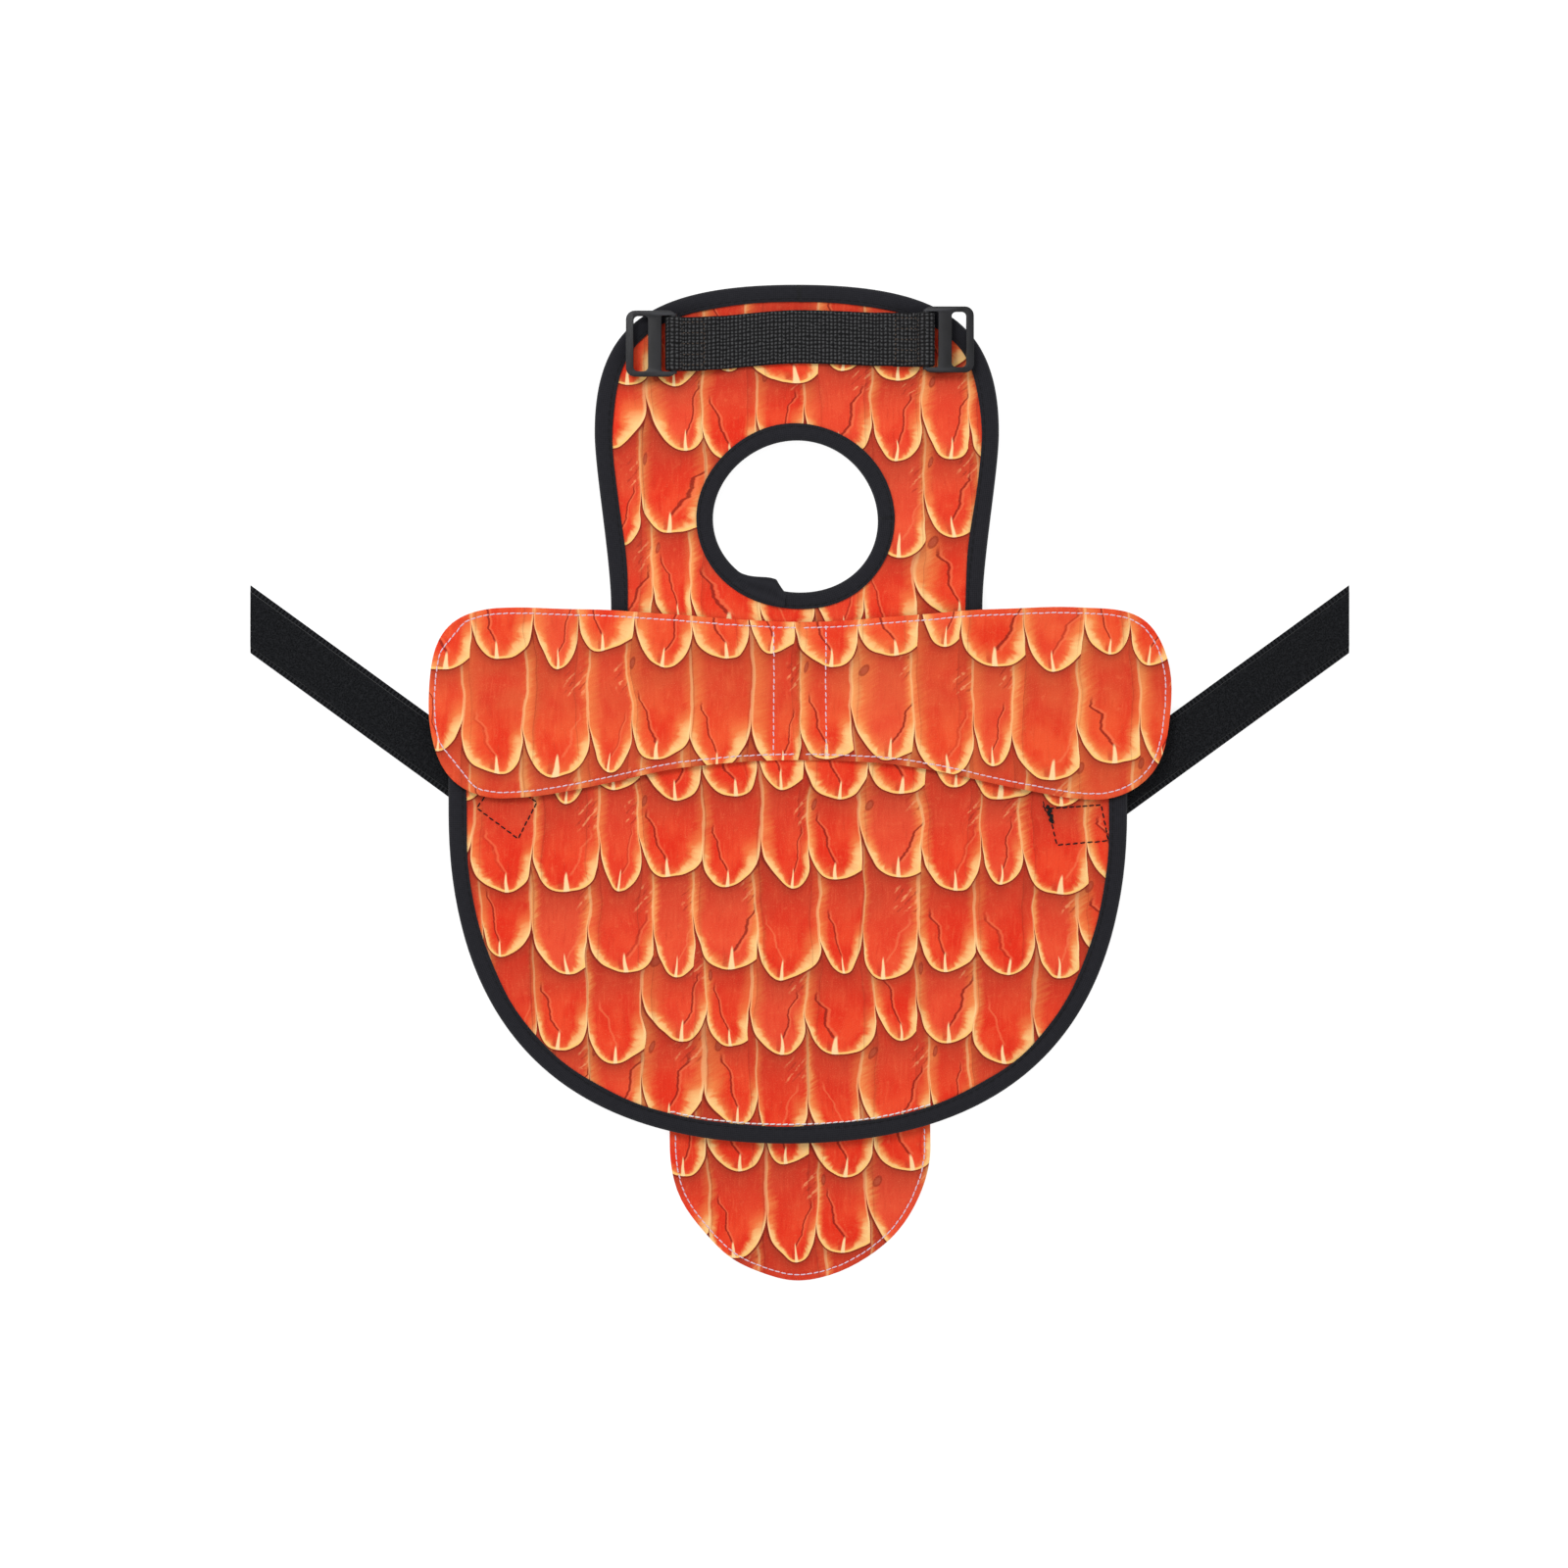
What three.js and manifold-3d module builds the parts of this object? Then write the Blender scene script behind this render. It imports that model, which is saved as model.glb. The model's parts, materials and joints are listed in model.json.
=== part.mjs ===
// A printed poultry saddle laid flat, face up: a bound back panel with a breast panel beyond the
// head opening, a stitched wing flap, a tail flap, two hook-and-loop side straps, and a chest
// webbing with a plastic slider at each end.
// Millimetres. +Z is up from the surface it lies on and +Y runs towards the breast edge. The
// origin is the middle of the outer box, on that surface.

import * as THREE from "three";
import { mergeVertices } from "three/addons/utils/BufferGeometryUtils.js";
import Module from "manifold-3d";

const wasm = await Module();
wasm.setup();

// ---------------------------------------------------------------- driving dimensions

const gap = 0.3; // between pieces that must stay apart

// The bound panel's outline.
const panelLength = 249.8; // breast edge to bottom hem
const backWidth = 197.4;
const breastWidth = 117.6;
const neckWidth = 108;
const breastWidestDrop = 43; // breast edge down to the widest line of the breast panel
const neckDrop = 94; // breast edge down to where the neck turns out into the shoulders
const shoulderDrop = 127; // breast edge down to the shoulder line
const shoulderRound = 15; // size of the shoulder corners
const sideDrop = 153; // breast edge down to where the hem begins to curve in
const breastFullness = 0.73; // 0.55 is an ellipse, more is squarer
const hemFullness = 0.64;

// The panel's layers, from the lining up.
const liningThickness = 0.7;
const interliningThickness = 0.8;
const faceThickness = 0.7;

// The folded edge binding.
const bindingWidth = 5.2;
const bindingWall = 1;
const bindingLip = 0.6; // one turned ply, above and below the panel

// The head opening, which the neck fold crosses at its middle.
const openingWidth = 47.4;
const openingLength = 44.6;
const openingDrop = 68.3; // breast edge down to its centre
const openingBindingWidth = 4.9;
const rawEndLength = 7; // the overlapped raw end of the opening's binding
const rawEndAngle = 248; // degrees round the opening from +X

// The wing flap, sewn down its middle.
const wingWidth = 216.8;
const wingStitchSpacing = 15.2;
const wingTopDrop = 97.8; // breast edge down to the flap's upper edge at its middle
const wingTopRise = 4.2; // how much higher that edge is at its ends
const wingLength = 40.8; // at its middle
const wingEndDrop = 11.3; // how much lower its lower edge is at its ends
const wingPly = 0.7;
const wingRaise = 0.9; // the free ends ride over the binding by this

// The tail flap, sewn under the bottom hem.
const tailDrop = 40; // shows below the hem
const tailWidth = 77.2;
const tailFullness = 0.56;
const tailSeamAllowance = 10; // runs up behind the panel
const tailFoldClearance = 2.1; // hem to the line where the flap folds
const tailPly = 0.7;

// The side straps.
const span = 320; // strap end to strap end
const strapWidth = 16;
const strapAngle = 36; // degrees up from the side
const strapFoldClearance = 8.2; // wing flap's end to the middle of the line where the strap folds
const strapFoldDrop = 128.7; // breast edge down to the middle of that line
const strapTapeThickness = 0.8;
const strapBackingThickness = 0.6;
const strapHidden = 50; // runs behind the panel from the fold line
const strapTipStart = 34; // fold line to where the tip folds back

// The stitched boxes that hold the straps, each placed by its centre: in from the edge binding and
// down from the breast edge. The left box follows its strap and the right one is squarer.
const leftBox = { fromBinding: 9.6, drop: 151.8, length: 14.4, width: 12, angle: -strapAngle };
const rightBox = { fromBinding: 12.5, drop: 157.3, length: 15.2, width: 10.4, angle: -4 };

// The chest webbing and its two sliders.
const webbingWidth = 15.5;
const webbingThickness = 1.2;
const webbingDrop = 15.9; // breast edge down to its centre line
const webbingReach = 36.6; // middle of the panel to the bar that it loops round
const webbingDoubled = 9.5; // length of the folded tail from that bar
const sliderBar = 2; // the bar inside the loop is round
const sliderSlot = 3.4;
const sliderMiddleBar = 3.7;
const sliderOuterBar = 2.3;
const sliderRail = 1.5;
const sliderThickness = 2;
const sliderCorner = 1.6;

// Sewing thread, drawn as a thin ribbon along each row of stitches.
const threadWidth = 0.5;
const threadHeight = 0.2;
const topstitchInset = 2;
const seamInset = 1.2; // binding's inner edge to the tail's seam

// ---------------------------------------------------------------- levels and lines

const strapTop = strapBackingThickness + strapTapeThickness;
const tailTop = 2 * tailPly;
const underTop = Math.max(strapTop, tailTop); // straps and tail lie under the panel
const bindingLow = underTop + gap;
const panelLow = bindingLow + bindingLip;
const interliningLow = panelLow + liningThickness;
const faceLow = interliningLow + interliningThickness;
const faceHigh = faceLow + faceThickness;
const bindingHigh = faceHigh + bindingLip;
const wingLow = faceHigh + wingRaise;
const wingHigh = wingLow + 2 * wingPly;

const breastEdge = (panelLength + tailDrop) / 2;
const hemEdge = breastEdge - panelLength;
const tailTip = hemEdge - tailDrop;
const neckFold = breastEdge - openingDrop;
const tailFold = hemEdge - tailFoldClearance;
const wingTop = breastEdge - wingTopDrop;
const wingFold = wingStitchSpacing / 2 + threadWidth + 0.1;
const webbingLine = breastEdge - webbingDrop;
const strapFoldPoint = new THREE.Vector2(
  wingWidth / 2 + strapFoldClearance,
  breastEdge - strapFoldDrop,
);
const far = span + panelLength; // past everything

// ---------------------------------------------------------------- shapes

// Bends a path from where it is to (x, y), drawn towards a corner.
function bend(path, cornerX, cornerY, x, y, fullness) {
  const from = path.currentPoint;
  path.bezierCurveTo(
    from.x + (cornerX - from.x) * fullness,
    from.y + (cornerY - from.y) * fullness,
    x + (cornerX - x) * fullness,
    y + (cornerY - y) * fullness,
    x,
    y,
  );
}

// A closed outline, anticlockwise, from its right half drawn downwards from the middle line.
function bothHalves(rightHalf, steps) {
  const right = rightHalf.getPoints(steps);
  const left = right.map((p) => new THREE.Vector2(-p.x, p.y));
  const onMiddle = (p) => Math.abs(p.x) < 1e-6;
  return [...left, ...right.filter((p) => !onMiddle(p)).reverse()];
}

function panelOutline() {
  const half = new THREE.Path();
  const widest = breastEdge - breastWidestDrop;
  const neck = breastEdge - neckDrop;
  const shoulder = breastEdge - shoulderDrop;
  half.moveTo(0, breastEdge);
  bend(half, breastWidth / 2, breastEdge, breastWidth / 2, widest, breastFullness);
  half.bezierCurveTo(
    breastWidth / 2,
    widest - breastWidestDrop / 4,
    neckWidth / 2,
    neck + breastWidestDrop / 3,
    neckWidth / 2,
    neck,
  );
  bend(half, neckWidth / 2, shoulder, backWidth / 2 - shoulderRound, shoulder, 0.6);
  bend(half, backWidth / 2, shoulder, backWidth / 2, shoulder - shoulderRound, 0.6);
  half.lineTo(backWidth / 2, breastEdge - sideDrop);
  bend(half, backWidth / 2, hemEdge, 0, hemEdge, hemFullness);
  return bothHalves(half, 9);
}

function wingOutline() {
  const half = new THREE.Path();
  const end = wingWidth / 2;
  const endTop = wingTop + wingTopRise;
  const bottom = wingTop - wingLength;
  const endBottom = bottom - wingEndDrop;
  const endMiddle = (endTop + endBottom) / 2;
  half.moveTo(0, wingTop);
  half.bezierCurveTo(0.2 * end, wingTop, 0.4 * end, endTop, 0.8 * end, endTop);
  bend(half, end, endTop, end, endMiddle, 0.65);
  bend(half, end, endBottom, 0.8 * end, endBottom, 0.6);
  half.bezierCurveTo(0.5 * end, endBottom + 2, 0.4 * end, bottom, 0, bottom);
  return bothHalves(half, 8);
}

// The tail flap and the allowance above it, which the hem hides.
function tailOutline() {
  const half = new THREE.Path();
  const side = tailWidth / 2;
  half.moveTo(0, hemEdge + tailSeamAllowance);
  half.lineTo(side, hemEdge + tailSeamAllowance);
  half.lineTo(side, hemEdge);
  bend(half, side, tailTip, 0, tailTip, tailFullness);
  return bothHalves(half, 14);
}

function ellipse(x, y, halfWidth, halfLength, steps = 40) {
  const turn = new THREE.EllipseCurve(x, y, halfWidth, halfLength, 0, 2 * Math.PI);
  return turn.getPoints(steps).slice(0, steps);
}

// A rectangle, turned about its centre.
function rectangle(x, y, length, width, degrees = 0) {
  const centre = new THREE.Vector2(x, y);
  const corners = [
    [-length / 2, -width / 2],
    [length / 2, -width / 2],
    [length / 2, width / 2],
    [-length / 2, width / 2],
  ];
  const turn = THREE.MathUtils.degToRad(degrees);
  return corners.map(([a, b]) =>
    new THREE.Vector2(x + a, y + b).rotateAround(centre, turn),
  );
}

function roundedRectangle(x, y, length, width, corner) {
  const path = new THREE.Path();
  const right = x + length / 2;
  const top = y + width / 2;
  const left = right - length;
  const bottom = top - width;
  path.moveTo(right, bottom + corner);
  path.lineTo(right, top - corner);
  bend(path, right, top, right - corner, top, 0.55);
  path.lineTo(left + corner, top);
  bend(path, left, top, left, top - corner, 0.55);
  path.lineTo(left, bottom + corner);
  bend(path, left, bottom, left + corner, bottom, 0.55);
  path.lineTo(right - corner, bottom);
  bend(path, right, bottom, right, bottom + corner, 0.55);
  return path.getPoints(4).slice(0, -1);
}

// An anticlockwise outline moved inwards by a distance, or outwards by a negative one.
function inset(outline, distance) {
  const count = outline.length;
  return outline.map((point, i) => {
    const before = outline[(i + count - 1) % count];
    const after = outline[(i + 1) % count];
    const arriving = point.clone().sub(before).normalize();
    const leaving = after.clone().sub(point).normalize();
    const inwards = new THREE.Vector2(-arriving.y, arriving.x);
    const mitre = new THREE.Vector2(-arriving.y - leaving.y, arriving.x + leaving.x);
    mitre.normalize();
    return point.clone().addScaledVector(mitre, distance / mitre.dot(inwards));
  });
}

// ---------------------------------------------------------------- solids

function solid(geometry) {
  const bare = geometry.clone();
  bare.deleteAttribute("normal");
  bare.deleteAttribute("uv");
  const merged = mergeVertices(bare, 1e-4);
  return new wasm.Manifold(
    new wasm.Mesh({
      numProp: 3,
      vertProperties: merged.getAttribute("position").array,
      triVerts: new Uint32Array(merged.index.array),
    }),
  );
}

// A flat piece of this outline from one level to another.
function plate(outline, low, high) {
  const shape = new THREE.Shape(outline);
  const geometry = new THREE.ExtrudeGeometry(shape, { depth: 1, bevelEnabled: false });
  const position = geometry.getAttribute("position");
  for (let i = 0; i < position.count; i++) {
    position.setZ(i, position.getZ(i) > 0.5 ? high : low);
  }
  return solid(geometry);
}

// What of a solid lies between these lines.
function between(whole, xLow, xHigh, yLow, yHigh) {
  const box = new THREE.BoxGeometry(xHigh - xLow, yHigh - yLow, 2 * far);
  box.translate((xLow + xHigh) / 2, (yLow + yHigh) / 2, 0);
  return whole.intersect(solid(box));
}

const behindNeckFold = (whole) => between(whole, -far, far, -far, neckFold - gap / 2);
const beyondNeckFold = (whole) => between(whole, -far, far, neckFold + gap / 2, far);

// A row of stitches round an outline, this far inside it, on a surface.
function stitchRow(outline, distance, surface) {
  const outer = inset(outline, distance - threadWidth / 2);
  const inner = inset(outline, distance + threadWidth / 2);
  const high = surface + threadHeight;
  return plate(outer, surface, high).subtract(plate(inner, -far, far));
}

const panel = panelOutline();
const opening = ellipse(0, neckFold, openingWidth / 2, openingLength / 2);

// One layer of the panel, cut to lie inside both bindings.
function panelLayer(low, high) {
  const edge = inset(panel, bindingWall + gap);
  const hole = inset(opening, -(bindingWall + gap));
  return plate(edge, low, high).subtract(plate(hole, -far, far));
}

// The binding round the panel's edge: two lips and the wall that joins them.
function edgeBinding() {
  return plate(panel, bindingLow, bindingHigh)
    .subtract(plate(inset(panel, bindingWidth), -far, far))
    .subtract(plate(inset(panel, bindingWall), panelLow, faceHigh));
}

// The same round the head opening, where the wall is on the inside.
function openingBinding() {
  const outer = inset(opening, -openingBindingWidth);
  const groove = plate(inset(outer, -1), panelLow, faceHigh).subtract(
    plate(inset(opening, -bindingWall), -far, far),
  );
  return plate(outer, bindingLow, bindingHigh)
    .subtract(plate(opening, -far, far))
    .subtract(groove);
}

// The raw end of the opening's binding, lapped over where the binding began.
function rawEnd() {
  const turn = THREE.MathUtils.degToRad(rawEndAngle);
  const reach = openingBindingWidth / 2 - 1; // it stands 1 mm further into the opening
  const x = Math.cos(turn) * (openingWidth / 2 + reach);
  const y = neckFold + Math.sin(turn) * (openingLength / 2 + reach);
  const outline = rectangle(x, y, openingBindingWidth, rawEndLength, rawEndAngle);
  return plate(outline, bindingHigh, bindingHigh + 2 * bindingLip);
}

// ---------------------------------------------------------------- materials

function material(color, roughness) {
  return new THREE.MeshStandardMaterial({ color, roughness, metalness: 0 });
}

const print = material(0xe2552f, 0.55);
const lining = material(0x2b2b2e, 0.85);
const interlining = material(0xe9e6df, 0.95);
const bias = material(0x26262a, 0.9);
const loopTape = material(0x1f2022, 0.98);
const hookTape = material(0x18181a, 0.7);
const webbing = material(0x303032, 0.8);
const plastic = material(0x34343a, 0.45);
const whiteThread = material(0xe9dfe8, 0.7);
const blackThread = material(0x17171a, 0.7);

const saddle = new THREE.Group();

function add(name, whole, finish) {
  const { vertProperties, triVerts } = whole.getMesh();
  const geometry = new THREE.BufferGeometry();
  geometry.setAttribute("position", new THREE.BufferAttribute(vertProperties, 3));
  geometry.setIndex(new THREE.BufferAttribute(triVerts, 1));
  geometry.computeVertexNormals();
  const mesh = new THREE.Mesh(geometry, finish);
  mesh.name = name;
  saddle.add(mesh);
}

// ---------------------------------------------------------------- the bound panel

const layers = [
  ["lining", panelLow, interliningLow, lining],
  ["interlining", interliningLow, faceLow, interlining],
  ["face", faceLow, faceHigh, print],
];
for (const [name, low, high, finish] of layers) {
  const layer = panelLayer(low, high);
  add(`back_${name}`, behindNeckFold(layer), finish);
  add(`breast_${name}`, beyondNeckFold(layer), finish);
}
add("back_binding", behindNeckFold(edgeBinding()), bias);
add("breast_binding", beyondNeckFold(edgeBinding()), bias);
add("head_opening_binding_rear", behindNeckFold(openingBinding()), bias);
add("head_opening_binding_front", beyondNeckFold(openingBinding()), bias);
add("head_opening_binding_end", rawEnd(), bias);

// ---------------------------------------------------------------- the wing flap

const wing = wingOutline();
const wingStitches = stitchRow(wing, topstitchInset, wingHigh);

function wingPart(whole, side) {
  const inner = wingFold + gap / 2;
  return side > 0 ? between(whole, inner, far, -far, far) : between(whole, -far, -inner, -far, far);
}

for (const [side, name] of [[-1, "left"], [1, "right"]]) {
  const lower = plate(wing, wingLow, wingLow + wingPly);
  const upper = plate(wing, wingLow + wingPly, wingHigh);
  add(`wing_${name}_lining`, wingPart(lower, side), lining);
  add(`wing_${name}_face`, wingPart(upper, side), print);
  add(`wing_${name}_topstitch`, wingPart(wingStitches, side), whiteThread);
}

const wingCentreEdge = wingFold - gap / 2;
const wingCentre = (low) =>
  between(plate(wing, low, low + wingPly), -wingCentreEdge, wingCentreEdge, -far, far);
const wingCentreHigh = faceHigh + 2 * wingPly;
add("wing_centre_lining", wingCentre(faceHigh), lining);
add("wing_centre_face", wingCentre(faceHigh + wingPly), print);
for (const [side, name] of [[-1, "left"], [1, "right"]]) {
  const length = wingLength - 2 * topstitchInset;
  const line = rectangle(
    (side * wingStitchSpacing) / 2,
    wingTop - wingLength / 2,
    threadWidth,
    length,
  );
  const row = plate(line, wingCentreHigh, wingCentreHigh + threadHeight);
  add(`wing_centre_stitch_${name}`, row, whiteThread);
}

// ---------------------------------------------------------------- the tail flap

const tail = tailOutline();
const aboveTailFold = (whole) => between(whole, -far, far, tailFold + gap / 2, far);
const belowTailFold = (whole) => between(whole, -far, far, -far, tailFold - gap / 2);
add("tail_seam_allowance", aboveTailFold(plate(tail, 0, tailTop)), print);
add("tail_lining", belowTailFold(plate(tail, 0, tailPly)), lining);
add("tail_face", belowTailFold(plate(tail, tailPly, tailTop)), print);
add("tail_topstitch", belowTailFold(stitchRow(tail, topstitchInset, tailTop)), whiteThread);
const hemStitches = stitchRow(panel, bindingWidth + seamInset, faceHigh);
const tailSeam = between(hemStitches, -tailWidth / 2, tailWidth / 2, -far, 0);
add("tail_seam_stitch", tailSeam, whiteThread);

// ---------------------------------------------------------------- the side straps

// A stretch of strap between two distances along it from the fold line, cut off at the span.
function strapLength(side, from, to, low, high) {
  const along = new THREE.Vector2(1, 0).rotateAround(
    new THREE.Vector2(),
    THREE.MathUtils.degToRad(strapAngle),
  );
  const middle = strapFoldPoint.clone().addScaledVector(along, (from + to) / 2);
  const angle = side > 0 ? strapAngle : 180 - strapAngle;
  const outline = rectangle(side * middle.x, middle.y, to - from, strapWidth, angle);
  return between(plate(outline, low, high), -span / 2, span / 2, -far, far);
}

for (const [side, name] of [[-1, "left"], [1, "right"]]) {
  const tape = [strapBackingThickness, strapTop];
  const backing = [0, strapBackingThickness];
  const hidden = [-strapHidden, -gap / 2];
  const free = [gap / 2, strapTipStart - gap / 2];
  const tip = [strapTipStart + gap / 2, span / 2];
  add(`strap_anchor_${name}`, strapLength(side, ...hidden, 0, strapTop), loopTape);
  add(`strap_${name}_backing_tape`, strapLength(side, ...free, ...backing), hookTape);
  add(`strap_${name}_loop_tape`, strapLength(side, ...free, ...tape), loopTape);
  add(`strap_tip_${name}_hook_patch`, strapLength(side, ...tip, ...backing), hookTape);
  add(`strap_tip_${name}_loop_tape`, strapLength(side, ...tip, ...tape), loopTape);
}

for (const [side, name, box] of [[-1, "left", leftBox], [1, "right", rightBox]]) {
  const x = side * (backWidth / 2 - bindingWidth - box.fromBinding);
  const outline = rectangle(x, breastEdge - box.drop, box.length, box.width, box.angle);
  add(`strap_box_stitch_${name}`, stitchRow(outline, threadWidth, faceHigh), blackThread);
}

// ---------------------------------------------------------------- chest webbing and sliders

const loopRadius = sliderBar / 2 + gap + webbingThickness / 2;
const lowerPly = bindingHigh + webbingThickness / 2; // it lies across the edge binding
const upperPly = lowerPly + webbingThickness + gap;
const barLevel = lowerPly + loopRadius;
const webbingTop = upperPly + webbingThickness / 2;

// The webbing's centre line, seen from its edge: along the panel, up over its own folded tail,
// round the slider's bar and back underneath.
function webbingRoute() {
  const half = new THREE.Path();
  const tailEnd = webbingReach - webbingDoubled;
  const flatEnd = webbingReach - 2 * loopRadius;
  half.moveTo(0, lowerPly);
  half.lineTo(tailEnd - 5, lowerPly);
  half.bezierCurveTo(tailEnd - 3, lowerPly, tailEnd - 3.5, upperPly, tailEnd - 1, upperPly);
  half.lineTo(flatEnd, upperPly);
  half.bezierCurveTo(
    flatEnd + 2,
    upperPly,
    webbingReach - 2,
    barLevel + loopRadius,
    webbingReach,
    barLevel + loopRadius,
  );
  half.absarc(webbingReach, barLevel, loopRadius, Math.PI / 2, -Math.PI / 2, true);
  half.lineTo(tailEnd, lowerPly);
  return half.getPoints(7);
}

// The webbing's edge outline: its centre line thickened on both sides.
function webbingOutline() {
  const right = webbingRoute();
  const left = right.slice(1).map((p) => new THREE.Vector2(-p.x, p.y));
  const route = [...left.reverse(), ...right];
  const side = (distance) =>
    route.map((point, i) => {
      const before = route[Math.max(i - 1, 0)];
      const after = route[Math.min(i + 1, route.length - 1)];
      const arriving = point.clone().sub(before).normalize();
      const leaving = after.clone().sub(point).normalize();
      const along = arriving.clone().add(leaving).normalize();
      const normal = new THREE.Vector2(-along.y, along.x);
      const stretch = i > 0 && i < route.length - 1 ? along.dot(leaving) : 1;
      return point.clone().addScaledVector(normal, distance / stretch);
    });
  return [...side(-webbingThickness / 2), ...side(webbingThickness / 2).reverse()];
}

// An extrusion of the outline, which is drawn in x and height, across the webbing's width.
function chestWebbing() {
  const geometry = new THREE.ExtrudeGeometry(new THREE.Shape(webbingOutline()), {
    depth: webbingWidth,
    bevelEnabled: false,
  });
  geometry.rotateX(Math.PI / 2);
  geometry.translate(0, webbingLine + webbingWidth / 2, 0);
  return solid(geometry);
}
add("chest_webbing", chestWebbing(), webbing);

for (const [side, name] of [[-1, "left"], [1, "right"]]) {
  const length = webbingDoubled - 2 * loopRadius;
  const x = side * (webbingReach - 2 * loopRadius - length / 2);
  const outline = rectangle(x, webbingLine, length, webbingWidth - 2.5);
  const row = stitchRow(outline, threadWidth, webbingTop);
  add(`webbing_box_stitch_${name}`, row, blackThread);
}

// A slider: a flat frame with two slots, whose inner bar is round and lies in the webbing's loop.
function slider(side) {
  const slotLength = webbingWidth + 2 * gap;
  const width = slotLength + 2 * sliderRail;
  const low = barLevel - sliderThickness / 2;
  const high = barLevel + sliderThickness / 2;
  const innerSlot = sliderBar / 2;
  const middleBar = innerSlot + sliderSlot;
  const outerSlot = middleBar + sliderMiddleBar;
  const outerBar = outerSlot + sliderSlot;
  const end = outerBar + sliderOuterBar;
  const at = (from, to) => side * (webbingReach + (from + to) / 2);
  const frame = roundedRectangle(
    at(-innerSlot, end),
    webbingLine,
    innerSlot + end,
    width,
    sliderCorner,
  );
  const slots = [
    [-innerSlot - 1, middleBar],
    [outerSlot, outerBar],
  ].map(([from, to]) => plate(rectangle(at(from, to), webbingLine, to - from, slotLength), -far, far));
  const bar = new THREE.CylinderGeometry(sliderBar / 2, sliderBar / 2, slotLength + 1, 12);
  bar.translate(side * webbingReach, webbingLine, barLevel);
  return plate(frame, low, high).subtract(slots[0]).subtract(slots[1]).add(solid(bar));
}
add("slider_left", slider(-1), plastic);
add("slider_right", slider(1), plastic);

export default saddle;
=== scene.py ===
"""A printed hen saddle vest, laid flat with its face up: the cloth, binding, tapes, thread and sliders
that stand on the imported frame. Lengths in here are millimetres until a mesh is made."""

import json
import math

import bpy
import numpy as np
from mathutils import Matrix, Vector
from mathutils.geometry import delaunay_2d_cdt


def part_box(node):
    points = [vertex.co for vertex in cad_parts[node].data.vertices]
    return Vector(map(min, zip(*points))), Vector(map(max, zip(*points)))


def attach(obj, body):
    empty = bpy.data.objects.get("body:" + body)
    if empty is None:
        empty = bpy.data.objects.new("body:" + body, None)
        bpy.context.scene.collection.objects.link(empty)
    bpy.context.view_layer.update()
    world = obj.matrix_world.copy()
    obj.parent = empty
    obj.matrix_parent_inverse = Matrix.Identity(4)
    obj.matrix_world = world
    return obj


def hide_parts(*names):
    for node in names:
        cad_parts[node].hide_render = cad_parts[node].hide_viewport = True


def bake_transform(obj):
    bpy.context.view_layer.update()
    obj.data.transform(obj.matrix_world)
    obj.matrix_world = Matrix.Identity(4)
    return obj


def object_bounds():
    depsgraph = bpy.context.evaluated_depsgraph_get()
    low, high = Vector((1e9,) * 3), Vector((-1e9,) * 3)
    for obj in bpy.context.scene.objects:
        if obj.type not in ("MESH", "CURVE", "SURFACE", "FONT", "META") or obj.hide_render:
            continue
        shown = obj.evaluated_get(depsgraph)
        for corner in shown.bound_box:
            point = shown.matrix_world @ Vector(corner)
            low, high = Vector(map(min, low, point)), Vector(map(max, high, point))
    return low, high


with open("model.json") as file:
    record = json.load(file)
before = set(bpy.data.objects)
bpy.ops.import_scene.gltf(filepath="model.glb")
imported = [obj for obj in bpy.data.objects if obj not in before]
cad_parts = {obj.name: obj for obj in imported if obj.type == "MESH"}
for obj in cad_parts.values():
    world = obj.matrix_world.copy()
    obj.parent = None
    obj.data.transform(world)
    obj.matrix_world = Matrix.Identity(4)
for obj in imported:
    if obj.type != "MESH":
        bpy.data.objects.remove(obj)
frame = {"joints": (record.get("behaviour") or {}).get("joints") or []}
cad_low, cad_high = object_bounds()
bpy.ops.object.select_all(action="DESELECT")
luck = np.random.RandomState(23)

MM = 0.001
UV_SIZE = 100  # millimetres of cloth across one unit of its UV map


def node_box(node):
    """A CAD node's lowest and highest corner, in millimetres."""
    low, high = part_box(node)
    return np.array(low) / MM, np.array(high) / MM


# ------------------------------------------------------------------ the garment's sizes

breast_high = node_box("breast_binding")[1]
back_low, back_high = node_box("back_binding")
wing_low, wing_high = node_box("wing_left_face")
tail_low, tail_high = node_box("tail_face")

BREAST_EDGE, HEM_EDGE = breast_high[1], back_low[1]
BREAST_HALF, BACK_HALF, NECK_HALF = breast_high[0], back_high[0], 54
FACE_TOP = node_box("back_face")[1][2]
LINING_TOP = node_box("back_lining")[1][2]
INTERLINING_TOP = node_box("back_interlining")[1][2]
BINDING_TOP, BINDING_UNDER = back_high[2], back_low[2]
BINDING_WIDTH = 5.2
OPENING_HALF, OPENING_LENGTH = 23.7, 22.3
OPENING_BINDING = 4.9
LIP = 0.95  # the binding's stitches from its inner edge
WING_HALF, WING_TOP = -wing_low[0], wing_high[2]
WING_CENTRE_TOP = node_box("wing_centre_face")[1][2]
TAIL_TIP, TAIL_TOP, TAIL_HALF = tail_low[1], tail_high[2], tail_high[0]
STRAP_TOP = node_box("strap_anchor_left")[1][2]
STRAP_WIDTH = 16
STRAP_BACKING = 0.6
SPAN_HALF = cad_high.x / MM
TOPSTITCH = 1.7  # from the edge
CENTRE_ROW = 7.6  # each of the wing flap's two centre rows from the middle line

joints = {joint["name"]: joint for joint in frame["joints"]}


def joint_place(name):
    return np.array(joints[name]["pos_m"]) / MM


NECK_FOLD = joint_place("neck_fold")[1]
OPENING_MIDDLE = np.array([-1.1, NECK_FOLD + 0.6])


# ------------------------------------------------------------------ flat shapes

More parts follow.
